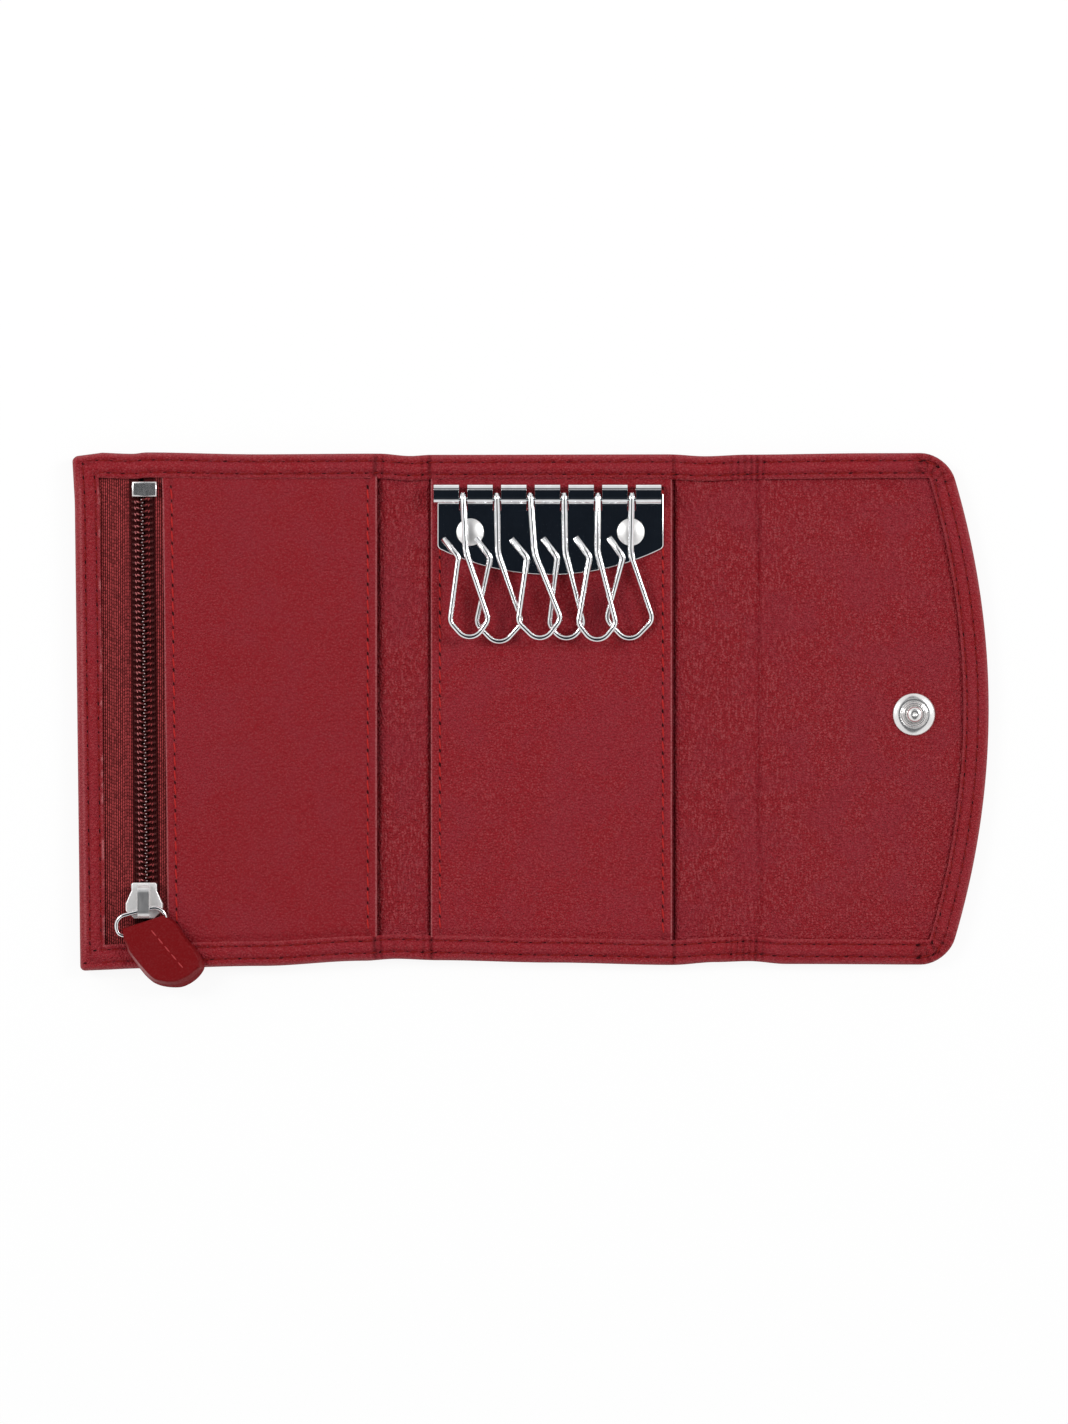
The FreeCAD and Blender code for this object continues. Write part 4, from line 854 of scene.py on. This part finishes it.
class ZipSettings(bpy.types.PropertyGroup):
    """The zip's cloth and coils"""

    tape_colour: FloatVectorProperty(name="Tape", description="Colour of the zip's tape", subtype="COLOR",
                                     default=(0.215, 0.008, 0.01))
    coil_colour: FloatVectorProperty(name="Coil", description="Colour of the zip's coil", subtype="COLOR",
                                     default=(0.056, 0.008, 0.008))
    pitch: FloatProperty(name="Pitch", description="Length from one coil turn to the next", unit="LENGTH",
                         default=0.0013, min=0.0005)


class MetalSettings(bpy.types.PropertyGroup):
    """The two platings"""

    chrome: FloatVectorProperty(name="Chrome", description="Colour of the rail, hooks and pull link",
                                subtype="COLOR", default=(0.94, 0.94, 0.95))
    satin: FloatVectorProperty(name="Satin", description="Colour of the slider, stops, rivets and snap",
                               subtype="COLOR", default=(0.92, 0.91, 0.9))


class StageSettings(bpy.types.PropertyGroup):
    """The camera and the lamps"""

    camera_height: FloatProperty(name="Camera", description="Camera above the leather", unit="LENGTH",
                                 default=1.0)
    view_height: FloatProperty(name="View", description="Height of what the camera sees", unit="LENGTH",
                               default=0.3025)
    lamp_power: FloatProperty(name="Lamps", description="Power of each soft lamp", unit="POWER",
                              default=3.05)


def outline():
    """The pattern's cut edge, with close places at the folds and none near the square corners."""
    rough = stations(LEFT + CORNER_CLEAR, STRAIGHT_END - FLAP_CORNER, EDGE_STEP)
    side = [x for x in rough if not any(a < x < b for a, b in CLOSE_PLACES)]
    side = sorted(side + [x for a, b in CLOSE_PLACES for x in stations(a, b, CLOSE_STEP)])
    turn = corner_arc(STRAIGHT_END, HALF, FLAP_CORNER, CORNER_STEPS)
    upper = [(LEFT, HALF)] + [(x, HALF) for x in side[:-1]] + turn
    flap = stations(FLAP_CORNER - HALF, HALF - FLAP_CORNER, EDGE_STEP)[1:-1]
    lower = [(x, -y) for x, y in reversed(upper)]
    start = [(LEFT, y) for y in stations(CORNER_CLEAR - HALF, HALF - CORNER_CLEAR, EDGE_STEP)]
    return upper + [(STRAIGHT_END, y) for y in reversed(flap)] + lower + start


def corner_arc(x, y, radius, steps):
    """Places round the upper right corner of a rectangle that ends at x and y."""
    turn = [math.radians(90 * k / steps) for k in range(steps + 1)]
    return [(x - radius * (1 - math.sin(a)), y - radius * (1 - math.cos(a))) for a in turn]


def skin():
    """The outer leather with its turned hem, as one closed mesh laid as photographed."""
    bm = bmesh.new()
    rub_and_painted_light = bm.verts.layers.float.new("worn")
    back = bm.faces.new([bm.verts.new((x, y, 0)) for x, y in outline()])
    raised = bmesh.ops.extrude_face_region(bm, geom=[back])["geom"]
    upper = [item for item in raised if isinstance(item, bmesh.types.BMVert)]
    bmesh.ops.translate(bm, vec=(0, 0, HEM_TOP), verts=upper)
    rims, corners = [], []
    for edge in bm.edges:
        one, two = (vert.co for vert in edge.verts)
        if abs(one.z - two.z) < NEAR:
            rims.append(edge)
        elif abs(one.x - LEFT) < NEAR and abs(abs(one.y) - HALF) < NEAR:
            corners.append(edge)
    bmesh.ops.bevel(bm, geom=rims + corners, affect="EDGES", offset=EDGE_ROUND, segments=EDGE_SEGMENTS,
                    profile=0.5, material=-1)
    face = max(bm.faces, key=lambda f: (f.calc_center_median().z, f.calc_area()))
    gone = EDGE_ROUND
    for ring in HEM_RINGS:
        bmesh.ops.inset_region(bm, faces=[face], thickness=ring - gone, use_even_offset=True,
                               use_boundary=True)
        gone = ring
    bmesh.ops.translate(bm, vec=(0, 0, COVER_TOP - HEM_TOP), verts=face.verts)
    for fold in FOLD.values():
        for x in stations(fold - FOLD_REACH, fold + FOLD_REACH, FOLD_STEP):
            whole = bm.verts[:] + bm.edges[:] + bm.faces[:]
            bmesh.ops.bisect_plane(bm, geom=whole, dist=NEAR, plane_co=(x, 0, 0), plane_no=(1, 0, 0))
    for vert in bm.verts:
        x, y, z = vert.co
        share = ramp(z, COVER_TOP, HEM_TOP)
        lift = max(z - COVER_TOP, 0) * (hem_level(x) - HEM_TOP) / (HEM_TOP - COVER_TOP)
        # The hem's wear and painted shade go into the vertex value
        vert[rub_and_painted_light] = share * hem_wear_and_shade(x, y)
        vert.co = lay(x, y, z + lift + share * hem_relief(x, y))
    return bm


def part_of(bm, low, high):
    """A closed copy of a mesh between two cuts across the case."""
    part = bm.copy()
    for x, way in ((low, -1), (high, 1)):
        if x is None:
            continue
        whole = part.verts[:] + part.edges[:] + part.faces[:]
        bmesh.ops.bisect_plane(part, geom=whole, dist=CUT_NEAR, plane_co=(x, 0, 0), plane_no=(way, 0, 0),
                               clear_outer=True)
        rim = [edge for edge in part.edges if edge.is_boundary]
        bmesh.ops.edgeloop_fill(part, edges=rim)
    return part


# The two raised panels: corners of their CAD box, body and lift of the right side
PANELS = {
    "key_panel": (PANEL_LOW, PANEL_HIGH, "center", 0.55),
    "pocket_front": (FRONT_LOW, FRONT_HIGH, "left_panel", 0.0),
}

# The case's four lengths: name, cuts at both ends, the fold within it, its bodies towards the middle and away
# from it, and which way is away. Then the CAD nodes that each length's leather stands for
LENGTHS = (
    ("left", None, LEFT_CUT, "left_outer_fold", "left_spine", "left_panel", -1),
    ("middle_left", LEFT_CUT, 0.0, "left_inner_fold", "center", "left_spine", -1),
    ("middle_right", 0.0, RIGHT_CUT, "right_inner_fold", "center", "right_spine", 1),
    ("flap", RIGHT_CUT, None, "right_outer_fold", "right_spine", "flap", 1),
)
COVERS = {
    "left": ("left_cover",),
    "middle_left": ("left_spine_cover", "center_cover"),
    "middle_right": ("center_cover", "right_spine_cover"),
    "flap": ("flap_cover",),
}
LININGS = {
    "left": ("left_spine_lining",),
    "middle_left": ("left_spine_lining",),
    "middle_right": ("right_spine_lining",),
    "flap": ("right_spine_lining", "flap_lining"),
}


class KEYCASE_OT_outer_leather(bpy.types.Operator):
    """Builds the outer leather and its hem in four lengths, cut between the folds"""

    bl_idname = "keycase.outer_leather"
    bl_label = "Outer leather"

    def execute(self, context):
        material = leather_material("leather", context.scene.keycase_leather.colour, grain=1.4, sheen=0.2)
        whole = skin()
        for name, low, high, joint, near_body, far_body, sign in LENGTHS:
            bm = part_of(whole, low, high)
            if name == "left":
                rings = ((SOCKET_RADIUS, 0), (SOCKET_RADIUS, SOCKET_DEEP), (EYELET_RADIUS, SOCKET_DEEP),
                         (EYELET_RADIUS, COVER_TOP))
                seat(bm, SOCKET_MIDDLE, rings, through=True)
            elif name == "flap":
                seat(bm, CAP_MIDDLE, ((CAP_RADIUS, 0), (CAP_RADIUS, CAP_DEEP)), through=False)
            piece = make_piece("leather_" + name, bm, [material], "leather", *COVERS[name])
            bend(piece, joint, near_body, far_body, sign)
        whole.free()
        return {"FINISHED"}


class KEYCASE_OT_linings(bpy.types.Operator):
    """Builds the thin inner leather of the two spines and the flap"""

    bl_idname = "keycase.linings"
    bl_label = "Linings"

    def execute(self, context):
        colour = context.scene.keycase_leather.colour
        material = leather_material("lining_leather", colour, wrinkled=0.8, grain=1.8, sheen=0.2)
        thick = LINING_TOP - COVER_TOP - SKIN_GAP
        ys = stations(-PANEL_REACH, PANEL_REACH, LINING_MESH[1])
        ends = {
            "left": (FRONT_HIGH.x - LINING_OVERLAP, LEFT_CUT),
            "middle_left": (LEFT_CUT, PANEL_LOW.x + LINING_OVERLAP),
            "middle_right": (PANEL_HIGH.x - LINING_OVERLAP, RIGHT_CUT),
            "flap": (RIGHT_CUT, STRAIGHT_END - HEM + UNDER_HEM),
        }

        def surface(x, y):
            return lay(x, y, LINING_TOP + lining_relief(x, y))

        for name, _, _, joint, near_body, far_body, sign in LENGTHS:
            # The linings carry painted shade in the grooves beside the panels
            bm = leaf(stations(*ends[name], LINING_MESH[0]), ys, surface, thick, lining_painted_shade)
            piece = make_piece("lining_" + name, bm, [material], "lining_leather", *LININGS[name])
            bend(piece, joint, near_body, far_body, sign)
        return {"FINISHED"}


class KEYCASE_OT_panels(bpy.types.Operator):
    """Builds the raised key panel and the front of the coin pocket"""

    bl_idname = "keycase.panels"
    bl_label = "Panels"

    def execute(self, context):
        colour = context.scene.keycase_leather.colour
        panel = leather_material("panel_leather", colour, wrinkled=0.2, grain=1.5, sheen=0.18)
        pocket = leather_material("pocket_leather", tinted(colour, 0.92), grain=1.0, sheen=0.18)
        materials = {"key_panel": panel, "pocket_front": pocket}
        ys = stations(-PANEL_REACH, PANEL_REACH, PANEL_MESH[1], PANEL_ENDS)
        for node, (low, high, body, lift) in PANELS.items():

            def surface(x, y, low=low, high=high, lift=lift):
                return lay(x, y, panel_level(x, y, low, high, lift))

            def worn(x, y, low=low, high=high):
                side = min(x - low.x, high.x - x)
                # Rub with a painted highlight along the rounded sides, and painted shade along the sewn rows
                return bands(side, SIDE_RUB_AND_HIGHLIGHT) - bands(side, ROW_PAINTED_SHADE)

            xs = stations(low.x, high.x, PANEL_MESH[0], PANEL_SIDES)
            bm = leaf(xs, ys, surface, high.z - low.z - BOARD_GAP, worn)
            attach(make_piece(node + "_leather", bm, [materials[node]], "lining_leather", node), body)
        self.board()
        return {"FINISHED"}

    def board(self):
        """The stiff board under the key panel, hidden in the open case."""
        material, start, shader = new_material("board")
        place = start.attribute("pattern", 1)
        plug(shader, Base_Color=place.noise(1.2).mixed(*BOARD_TONES), Roughness=0.9)
        low, high = node_box("center_board")
        reach = HALF - HEM - BOARD_INSIDE[1]

        def surface(x, y):
            return lay(x, y, high.z - BOARD_GAP)

        xs = stations(PANEL_LOW.x + BOARD_INSIDE[0], PANEL_HIGH.x - BOARD_INSIDE[0], BOARD_MESH)
        ys = stations(-reach, reach, BOARD_MESH)
        bm = leaf(xs, ys, surface, high.z - low.z - 2 * BOARD_GAP)
        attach(make_piece("center_board_sheet", bm, [material], "board", "center_board"), "center")


class KEYCASE_OT_pocket_cloth(bpy.types.Operator):
    """Builds the two cloth sheets inside the coin pocket"""

    bl_idname = "keycase.pocket_cloth"
    bl_label = "Pocket cloth"

    def execute(self, context):
        material = woven_material("cloth", context.scene.keycase_zip.tape_colour)
        for node in ("pocket_lining", "pocket_front_lining"):
            low, high = node_box(node)
            level = low.z + SKIN_GAP + CLOTH_THICK if node == "pocket_lining" else high.z - SKIN_GAP

            def surface(x, y, level=level):
                return lay(x, y, level)

            xs = stations(low.x + CLOTH_INSIDE[0], high.x - CLOTH_INSIDE[0], CLOTH_MESH)
            ys = stations(low.y + CLOTH_INSIDE[1], high.y - CLOTH_INSIDE[1], CLOTH_MESH)
            bm = leaf(xs, ys, surface, CLOTH_THICK)
            if node == "pocket_lining":
                rings = (EYELET_RADIUS, level - CLOTH_THICK), (EYELET_RADIUS, level)
                seat(bm, SOCKET_MIDDLE, rings, through=True)
            piece = make_piece(node + "_cloth", bm, [material], "cloth", node)
            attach(piece, "left_panel")
        return {"FINISHED"}


def bead(bm, template, place, heading, size, material_index=0):
    """Sets one small rounded form on a surface, turned to its heading."""
    first = len(bm.verts)
    count = len(bm.faces)
    bm.from_mesh(template)
    bm.verts.ensure_lookup_table()
    bm.faces.ensure_lookup_table()
    matrix = Matrix.Translation(place) @ Matrix.Rotation(heading, 4, "Z") @ Matrix.Diagonal((*size, 1))
    bmesh.ops.transform(bm, matrix=matrix, verts=bm.verts[first:])
    for face in bm.faces[count:]:
        face.material_index = material_index


def bead_template(sides, rings):
    """A unit ball whose poles lie along X."""
    bm = bmesh.new()
    bmesh.ops.create_uvsphere(bm, u_segments=sides, v_segments=rings, radius=1)
    bmesh.ops.rotate(bm, cent=(0, 0, 0), matrix=Matrix.Rotation(math.pi / 2, 3, "Y"), verts=bm.verts)
    mesh = bpy.data.meshes.new("bead")
    bm.to_mesh(mesh)
    bm.free()
    return mesh


def walk(points, pitch):
    """Places and headings at even steps along a line of points."""
    places = []
    ahead = pitch / 2
    for a, b in zip(points, points[1:]):
        run = Vector(b) - Vector(a)
        while ahead <= run.length:
            places.append((Vector(a) + run * (ahead / run.length), math.atan2(run.y, run.x)))
            ahead += pitch
        ahead -= run.length
    return places


def hem_row(side, start, end):
    """One sewn row round the hem, at its distances from the long sides, the left edge and the flap's end."""
    x0, x1, y = LEFT + start, STRAIGHT_END - end, HALF - side
    radius = FLAP_CORNER - (side + end) / 2
    upper = corner_arc(x1, y, radius, ROW_STEPS)
    lower = [(x, -y) for x, y in reversed(upper)]
    return [(x0, y)] + upper + lower + [(x0, -y), (x0, y)]


class KEYCASE_OT_stitching(bpy.types.Operator):
    """Sews the hem on both faces, the pocket front and the key panel"""

    bl_idname = "keycase.stitching"
    bl_label = "Stitching"

    def sew(self, bm, places, pitch, width, level):
        """Threads and needle holes at places of the pattern. Level gives the surface's height there."""
        slit = (width * HOLE_LONG, width * HOLE_WIDE, HOLE_DEEP)
        long = pitch / 2 - slit[0] * STITCH_SHORT
        for place, heading in places:
            height = level(place.x, place.y)
            spot = lay(place.x, place.y, height)
            sway = THREAD_SLANT + THREAD_SWAY * waver(place.x, place.y, 0.5, 1)
            bead(bm, self.thread, spot, heading + sway, (long, width / 2, width * THREAD_RISE))
            ahead = Vector((math.cos(heading), math.sin(heading))) * pitch / 2
            hole = lay(place.x + ahead.x, place.y + ahead.y, level(place.x + ahead.x, place.y + ahead.y))
            torn = 1 + HOLE_UNEVEN * waver(place.x, place.y, 2.2, 1.7)
            bead(bm, self.hole, hole, heading + 2 * THREAD_SLANT, [size * torn for size in slit], 1)

    def execute(self, context):
        settings = context.scene.keycase_leather
        pitch, width = settings.stitch_pitch / MM, settings.thread_width / MM
        thread = thread_material("thread", settings.thread_colour)
        hem_thread = thread_material("hem_thread", tinted(settings.thread_colour, HEM_THREAD_TINT))
        # The needle holes are beads in a near-black tint: painted shade
        hole = thread_material("needle_hole_shade", tinted(settings.colour, HOLE_SHADE_TINT))
        self.thread, self.hole = bead_template(sides=7, rings=6), bead_template(sides=7, rings=4)
        rows = [spot for row in STITCH_ROWS for spot in walk(hem_row(*row), pitch)]

        def hem_face(x, y):
            return hem_level(x) + hem_relief(x, y)

        for name, low, high, joint, near_body, far_body, sign in LENGTHS:
            bm = bmesh.new()
            mine = [s for s in rows if (low is None or s[0].x > low) and (high is None or s[0].x <= high)]
            self.sew(bm, mine, pitch, width, hem_face)
            self.sew(bm, mine, pitch, width, lambda x, y: BACK_LEVEL)
            piece = make_piece("stitches_" + name, bm, [hem_thread, hole], "leather")
            bend(piece, joint, near_body, far_body, sign)
        reach = HALF - HEM - ROW_CLEAR
        for node, (low, high, body, lift) in PANELS.items():
            bm = bmesh.new()
            for x in (low.x + PANEL_ROW, high.x - PANEL_ROW):
                places = walk([(x, -reach), (x, reach)], pitch)
                self.sew(bm, places, pitch, width, lambda x, y: panel_level(x, y, low, high, lift))
            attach(make_piece("stitches_" + node, bm, [thread, hole], "lining_leather"), body)
        return {"FINISHED"}


def tube(bm, points, radius, sides=6):
    """A rod of even section along a few points that run mostly along X."""
    turn = Matrix.Translation(points[0]) @ Matrix.Rotation(math.pi / 2, 4, "Y")
    ring = bmesh.ops.create_circle(bm, cap_ends=True, segments=sides, radius=radius, matrix=turn)["verts"]
    face = ring[0].link_faces[0]
    for a, b in zip(points, points[1:]):
        face = grow(bm, face)
        bmesh.ops.translate(bm, vec=Vector(b) - Vector(a), verts=face.verts)


class KEYCASE_OT_zip(bpy.types.Operator):
    """Builds the woven tapes and the coils with their sewing thread"""

    bl_idname = "keycase.zip"
    bl_label = "Zip"

    def execute(self, context):
        settings = context.scene.keycase_zip
        tape = woven_material("zip_tape", settings.tape_colour)
        coil = plastic_material("zip_coil", settings.coil_colour)
        # The heads' pale tint is a painted glint, and the sewing threads are one thread painted lit on the left
        # side and shaded on the right
        head = plastic_material("zip_head_glint", tinted(settings.coil_colour, *HEAD_GLINT_TINT))
        sewing = [thread_material("zip_thread_" + name, tinted(settings.tape_colour, *tint))
                  for name, tint in SEWING_LIT_AND_SHADED_TINTS.items()]
        for node in ("zip_tape_left", "zip_tape_right"):
            low, high = node_box(node)

            def surface(x, y, level=high.z):
                return lay(x, y, level)

            xs = stations(low.x, high.x, TAPE_MESH[0])
            ys = stations(low.y + TAPE_INSIDE, high.y - TAPE_INSIDE, TAPE_MESH[1])
            bm = leaf(xs, ys, surface, high.z - low.z)
            piece = make_piece(node + "_cloth", bm, [tape], "zip_tape", node)
            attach(piece, "left_panel")
        ball = bead_template(sides=6, rings=5)
        for side, node, thread in zip((-1, 1), ("zip_coil_left", "zip_coil_right"), sewing):
            bm = self.coil(side, settings.pitch / MM, ball)
            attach(make_piece(node + "_turns", bm, [coil, thread, head], "zip_coil", node), "left_panel")
        return {"FINISHED"}

    def coil(self, side, pitch, ball):
        """One side's turns, half a pitch from the other's, each with its head and two sewing threads."""
        bm = bmesh.new()
        wide, tall = (COIL_HIGH.x - COIL_LOW.x) / 2 - COIL_BACK, COIL_HIGH.z - COIL_LOW.z
        route = ((-0.3, 0, 0.45), (0.05, 0.02, 0.62), (0.6, 0.06, 0.66), (0.65 * wide, 0.18, 0.64),
                 (0.88 * wide, 0.26, 0.52), (wide, 0.34, 0.2))
        for k in range(int((COIL_HIGH.y - COIL_LOW.y) / pitch)):
            base = lay(ZIP_LINE, COIL_LOW.y + pitch * (k + 0.5 + side / 4), TAPE_TOP)
            tube(bm, [base + Vector((side * u, v, w * tall)) for u, v, w in route], COIL_LEG)
            bead(bm, ball, base + Vector((-side * HEAD_PAST, 0, HEAD_RISE * tall)), 0, COIL_HEAD, 2)
            for share, along, lean in COIL_SEWING:
                spot = base + Vector((side * share * wide, along, SEWING_RISE * tall))
                bead(bm, ball, spot, math.radians(90 - side * lean), COIL_THREAD, 1)
        return bm


class KEYCASE_OT_pull_tab(bpy.types.Operator):
    """Builds the leather tab of the zip's pull from its folded strip"""

    bl_idname = "keycase.pull_tab"
    bl_label = "Pull tab"

    def execute(self, context):
        settings = context.scene.keycase_leather
        material = leather_material("tab_leather", settings.tab_colour, grain=0.3, sheen=0.14)
        thread = thread_material("tab_thread", tinted(settings.tab_colour, *TAB_THREAD_TINT))
        low, high = node_box("pull_tab")
        edge = smooth_line(TAB_EDGE, TAB_STEPS)
        count = len(edge)
        inward = []
        for k in range(count):
            along = (edge[(k + 1) % count] - edge[k - 1]).normalized()
            inward.append(Vector((-along.y, along.x)))
        wall = [follow(TAB_WALL, k / (count - 1)) for k in range(count)]
        bm = bmesh.new()
        rub_and_painted_light = bm.verts.layers.float.new("worn")
        ring = [bm.verts.new((*(spot + way * TAB_ROUND), low.z)) for spot, way in zip(edge, inward)]
        face = bm.faces.new(ring)
        for share, inset, level in TAB_RINGS:
            face = grow(bm, face)
            fresh = {tuple(vert.co): vert for vert in face.verts}
            ring = [fresh[tuple(vert.co)] for vert in ring]
            for k, vert in enumerate(ring):
                spot = edge[k] + inward[k] * (share * wall[k] + inset * min(wall[k] / TAB_FULL_WALL, 1))
                vert.co = (*spot, low.z + (high.z - low.z) * level)
                # The band on the left wall is a painted highlight; leaning walls are paler from their edge dye and
                # a painted highlight
                pale = bands(k / (count - 1), TAB_PAINTED_HIGHLIGHT) + LEAN_EDGE_DYE_AND_HIGHLIGHT * ramp(wall[k], LEAN_START, LEAN_FULL)
                vert[rub_and_painted_light] = pale if 0 < share < 1 else 0
        piece = make_piece("pull_tab_leather", bm, [material], "tab_leather", "pull_tab")
        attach(piece, "pull_tab")
        bm = bmesh.new()
        stitch = bead_template(sides=7, rings=6)
        for place, heading in walk(TAB_SEAM, TAB_PITCH):
            bead(bm, stitch, Vector((*place, high.z - TAB_SUNK)), heading, TAB_STITCH)
        stitches = make_piece("pull_tab_stitches", bm, [thread], "tab_leather")
        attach(stitches, "pull_tab")
        return {"FINISHED"}


class KEYCASE_OT_metal(bpy.types.Operator):
    """Finishes the rail, hooks, slider, link, stops and snap"""

    bl_idname = "keycase.metal"
    bl_label = "Metal"

    def execute(self, context):
        settings = context.scene.keycase_metal
        chrome = metal_material("chrome", settings.chrome, 0.05, 0.06)
        satin = metal_material("satin_metal", settings.satin, 0.24, 0.16)
        nickel = metal_material("nickel", settings.satin, 0.14, 0.05, metallic=0.85)
        cast = metal_material("cast_metal", settings.satin, 0.26, 0.15, metallic=0.4)
        pale = metal_material("pale_metal", settings.satin, 0.28, 0.16, metallic=0.8)
        steel = metal_material("steel", settings.satin, 0.2, 0.12)
        finishes = {"chrome": chrome, "satin_metal": satin}
        single = {"pull_link": [chrome], "zip_bottom_stop": [steel], "zip_slider": [cast, satin],
                  "rail_rivets": [pale]}
        for part in frame["record"]["subparts"]:
            node, slot = part["node"], part["material_slot"]
            if node == "snap_stud":
                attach(make_piece("snap_stud_turned", turned_stud(), [nickel], slot, node), "flap")
            elif slot in finishes:
                polished(node, single.get(node, [finishes[slot]]), slot)
        return {"FINISHED"}


class KEYCASE_OT_stage(bpy.types.Operator):
    """Sets the camera, the floor, the surrounding light and two soft lamps"""

    bl_idname = "keycase.stage"
    bl_label = "Stage"

    def execute(self, context):
        settings = context.scene.keycase_stage
        scene = context.scene
        scene.view_settings.view_transform = "Standard"
        camera = bpy.data.objects.new("camera", bpy.data.cameras.new("camera"))
        camera.data.sensor_width = SENSOR
        camera.data.lens = SENSOR * settings.camera_height / settings.view_height
        camera.location = VIEW_MIDDLE + Vector((0, 0, settings.camera_height + HEM_TOP * MM))
        scene.collection.objects.link(camera)
        scene.camera = camera
        for side in (-1, 1):
            lamp = bpy.data.lights.new("soft_lamp", "AREA")
            lamp.energy = settings.lamp_power
            lamp.size = LAMP_SIZE
            holder = bpy.data.objects.new(lamp.name, lamp)
            holder.location = Vector(LAMP_PLACE) * Vector((side, 1, 1))
            holder.rotation_euler = (-holder.location).to_track_quat("-Z", "Y").to_euler()
            scene.collection.objects.link(holder)
        self.floor(scene)
        self.surround(scene)
        return {"FINISHED"}

    def floor(self, scene):
        """A white floor that keeps a faint shadow and lets light through from below."""
        bm = bmesh.new()
        bmesh.ops.create_grid(bm, x_segments=1, y_segments=1, size=FLOOR_HALF)
        bmesh.ops.translate(bm, vec=(0, 0, -FLOOR_DROP), verts=bm.verts)
        mesh = bpy.data.meshes.new("floor")
        bm.to_mesh(mesh)
        bm.free()
        material, start, shader = new_material("floor")
        plug(shader, Base_Color=(0.9, 0.9, 0.9, 1), Roughness=0.9, Specular_IOR_Level=0.0)
        camera = start.node("ShaderNodeLightPath", output="Is Camera Ray")
        glossy = start.node("ShaderNodeLightPath", output="Is Glossy Ray")
        seen = start.maths("MAXIMUM", camera, glossy) * 0.9
        glow = start.node("ShaderNodeEmission", {}, {"Color": (1, 1, 1, 1), "Strength": 1.0})
        lit = start.node("ShaderNodeMixShader", {}, {0: seen, 1: start, 2: glow})
        below = start.node("ShaderNodeNewGeometry", output=6)
        clear = start.node("ShaderNodeBsdfTransparent")
        both = start.node("ShaderNodeMixShader", {}, {0: below, 1: lit, 2: clear})
        start.tree.links.new(both.socket, start.tree.nodes["Material Output"].inputs["Surface"])
        mesh.materials.append(material)
        floor = bpy.data.objects.new("floor", mesh)
        scene.collection.objects.link(floor)

    def surround(self, scene):
        """A pale tent with a dark opening and a strip light, which metal mirrors. The camera sees white."""
        world = bpy.data.worlds.new("surround")
        world.use_nodes = True
        scene.world = world
        tree = world.node_tree
        background = tree.nodes["Background"]
        start = Shade(tree, background.outputs[0])
        ray = start.node("ShaderNodeTexCoord", output=0)
        across, along = ray.parts()
        wide, long = OPENING
        out = start.maths("SQRT", across * across / wide ** 2 + along * along / long ** 2)
        tent = start.node("ShaderNodeValToRGB", {"stops": TENT}, {0: out / 2})
        strip = (along - STRIP_AT).size().between(*STRIP_ALONG) * across.size().between(*STRIP_ACROSS)
        tent = strip.mixed(tent, STRIP_SHADE)
        seen = start.node("ShaderNodeLightPath", output=0)
        tree.links.new(seen.mixed(tent, (1, 1, 1)).socket, background.inputs["Color"])


class KEYCASE_PT_panel(bpy.types.Panel):
    """Sizes, colours and building steps of the key case"""

    bl_idname = "KEYCASE_PT_panel"
    bl_label = "Key case"
    bl_space_type = "VIEW_3D"
    bl_region_type = "UI"
    bl_category = "Key case"

    def draw(self, context):
        for group in SETTINGS:
            settings = getattr(context.scene, group)
            box = self.layout.box()
            for name in settings.__annotations__:
                box.prop(settings, name)
        for step in STEPS:
            self.layout.operator(step.bl_idname)


SETTINGS = {
    "keycase_leather": LeatherSettings,
    "keycase_zip": ZipSettings,
    "keycase_metal": MetalSettings,
    "keycase_stage": StageSettings,
}
STEPS = (
    KEYCASE_OT_outer_leather,
    KEYCASE_OT_linings,
    KEYCASE_OT_panels,
    KEYCASE_OT_pocket_cloth,
    KEYCASE_OT_stitching,
    KEYCASE_OT_zip,
    KEYCASE_OT_pull_tab,
    KEYCASE_OT_metal,
    KEYCASE_OT_stage,
)


def register():
    for kind in (*SETTINGS.values(), *STEPS, KEYCASE_PT_panel):
        bpy.utils.register_class(kind)
    for name, kind in SETTINGS.items():
        setattr(bpy.types.Scene, name, PointerProperty(type=kind))


def unregister():
    for name in SETTINGS:
        delattr(bpy.types.Scene, name)
    for kind in (KEYCASE_PT_panel, *reversed(STEPS), *reversed(SETTINGS.values())):
        bpy.utils.unregister_class(kind)


def main():
    register()
    bpy.ops.keycase.outer_leather()
    bpy.ops.keycase.linings()
    bpy.ops.keycase.panels()
    bpy.ops.keycase.pocket_cloth()
    bpy.ops.keycase.stitching()
    bpy.ops.keycase.zip()
    bpy.ops.keycase.pull_tab()
    bpy.ops.keycase.metal()
    bpy.ops.keycase.stage()
    bpy.context.view_layer.update()


if __name__ == "__main__":
    main()
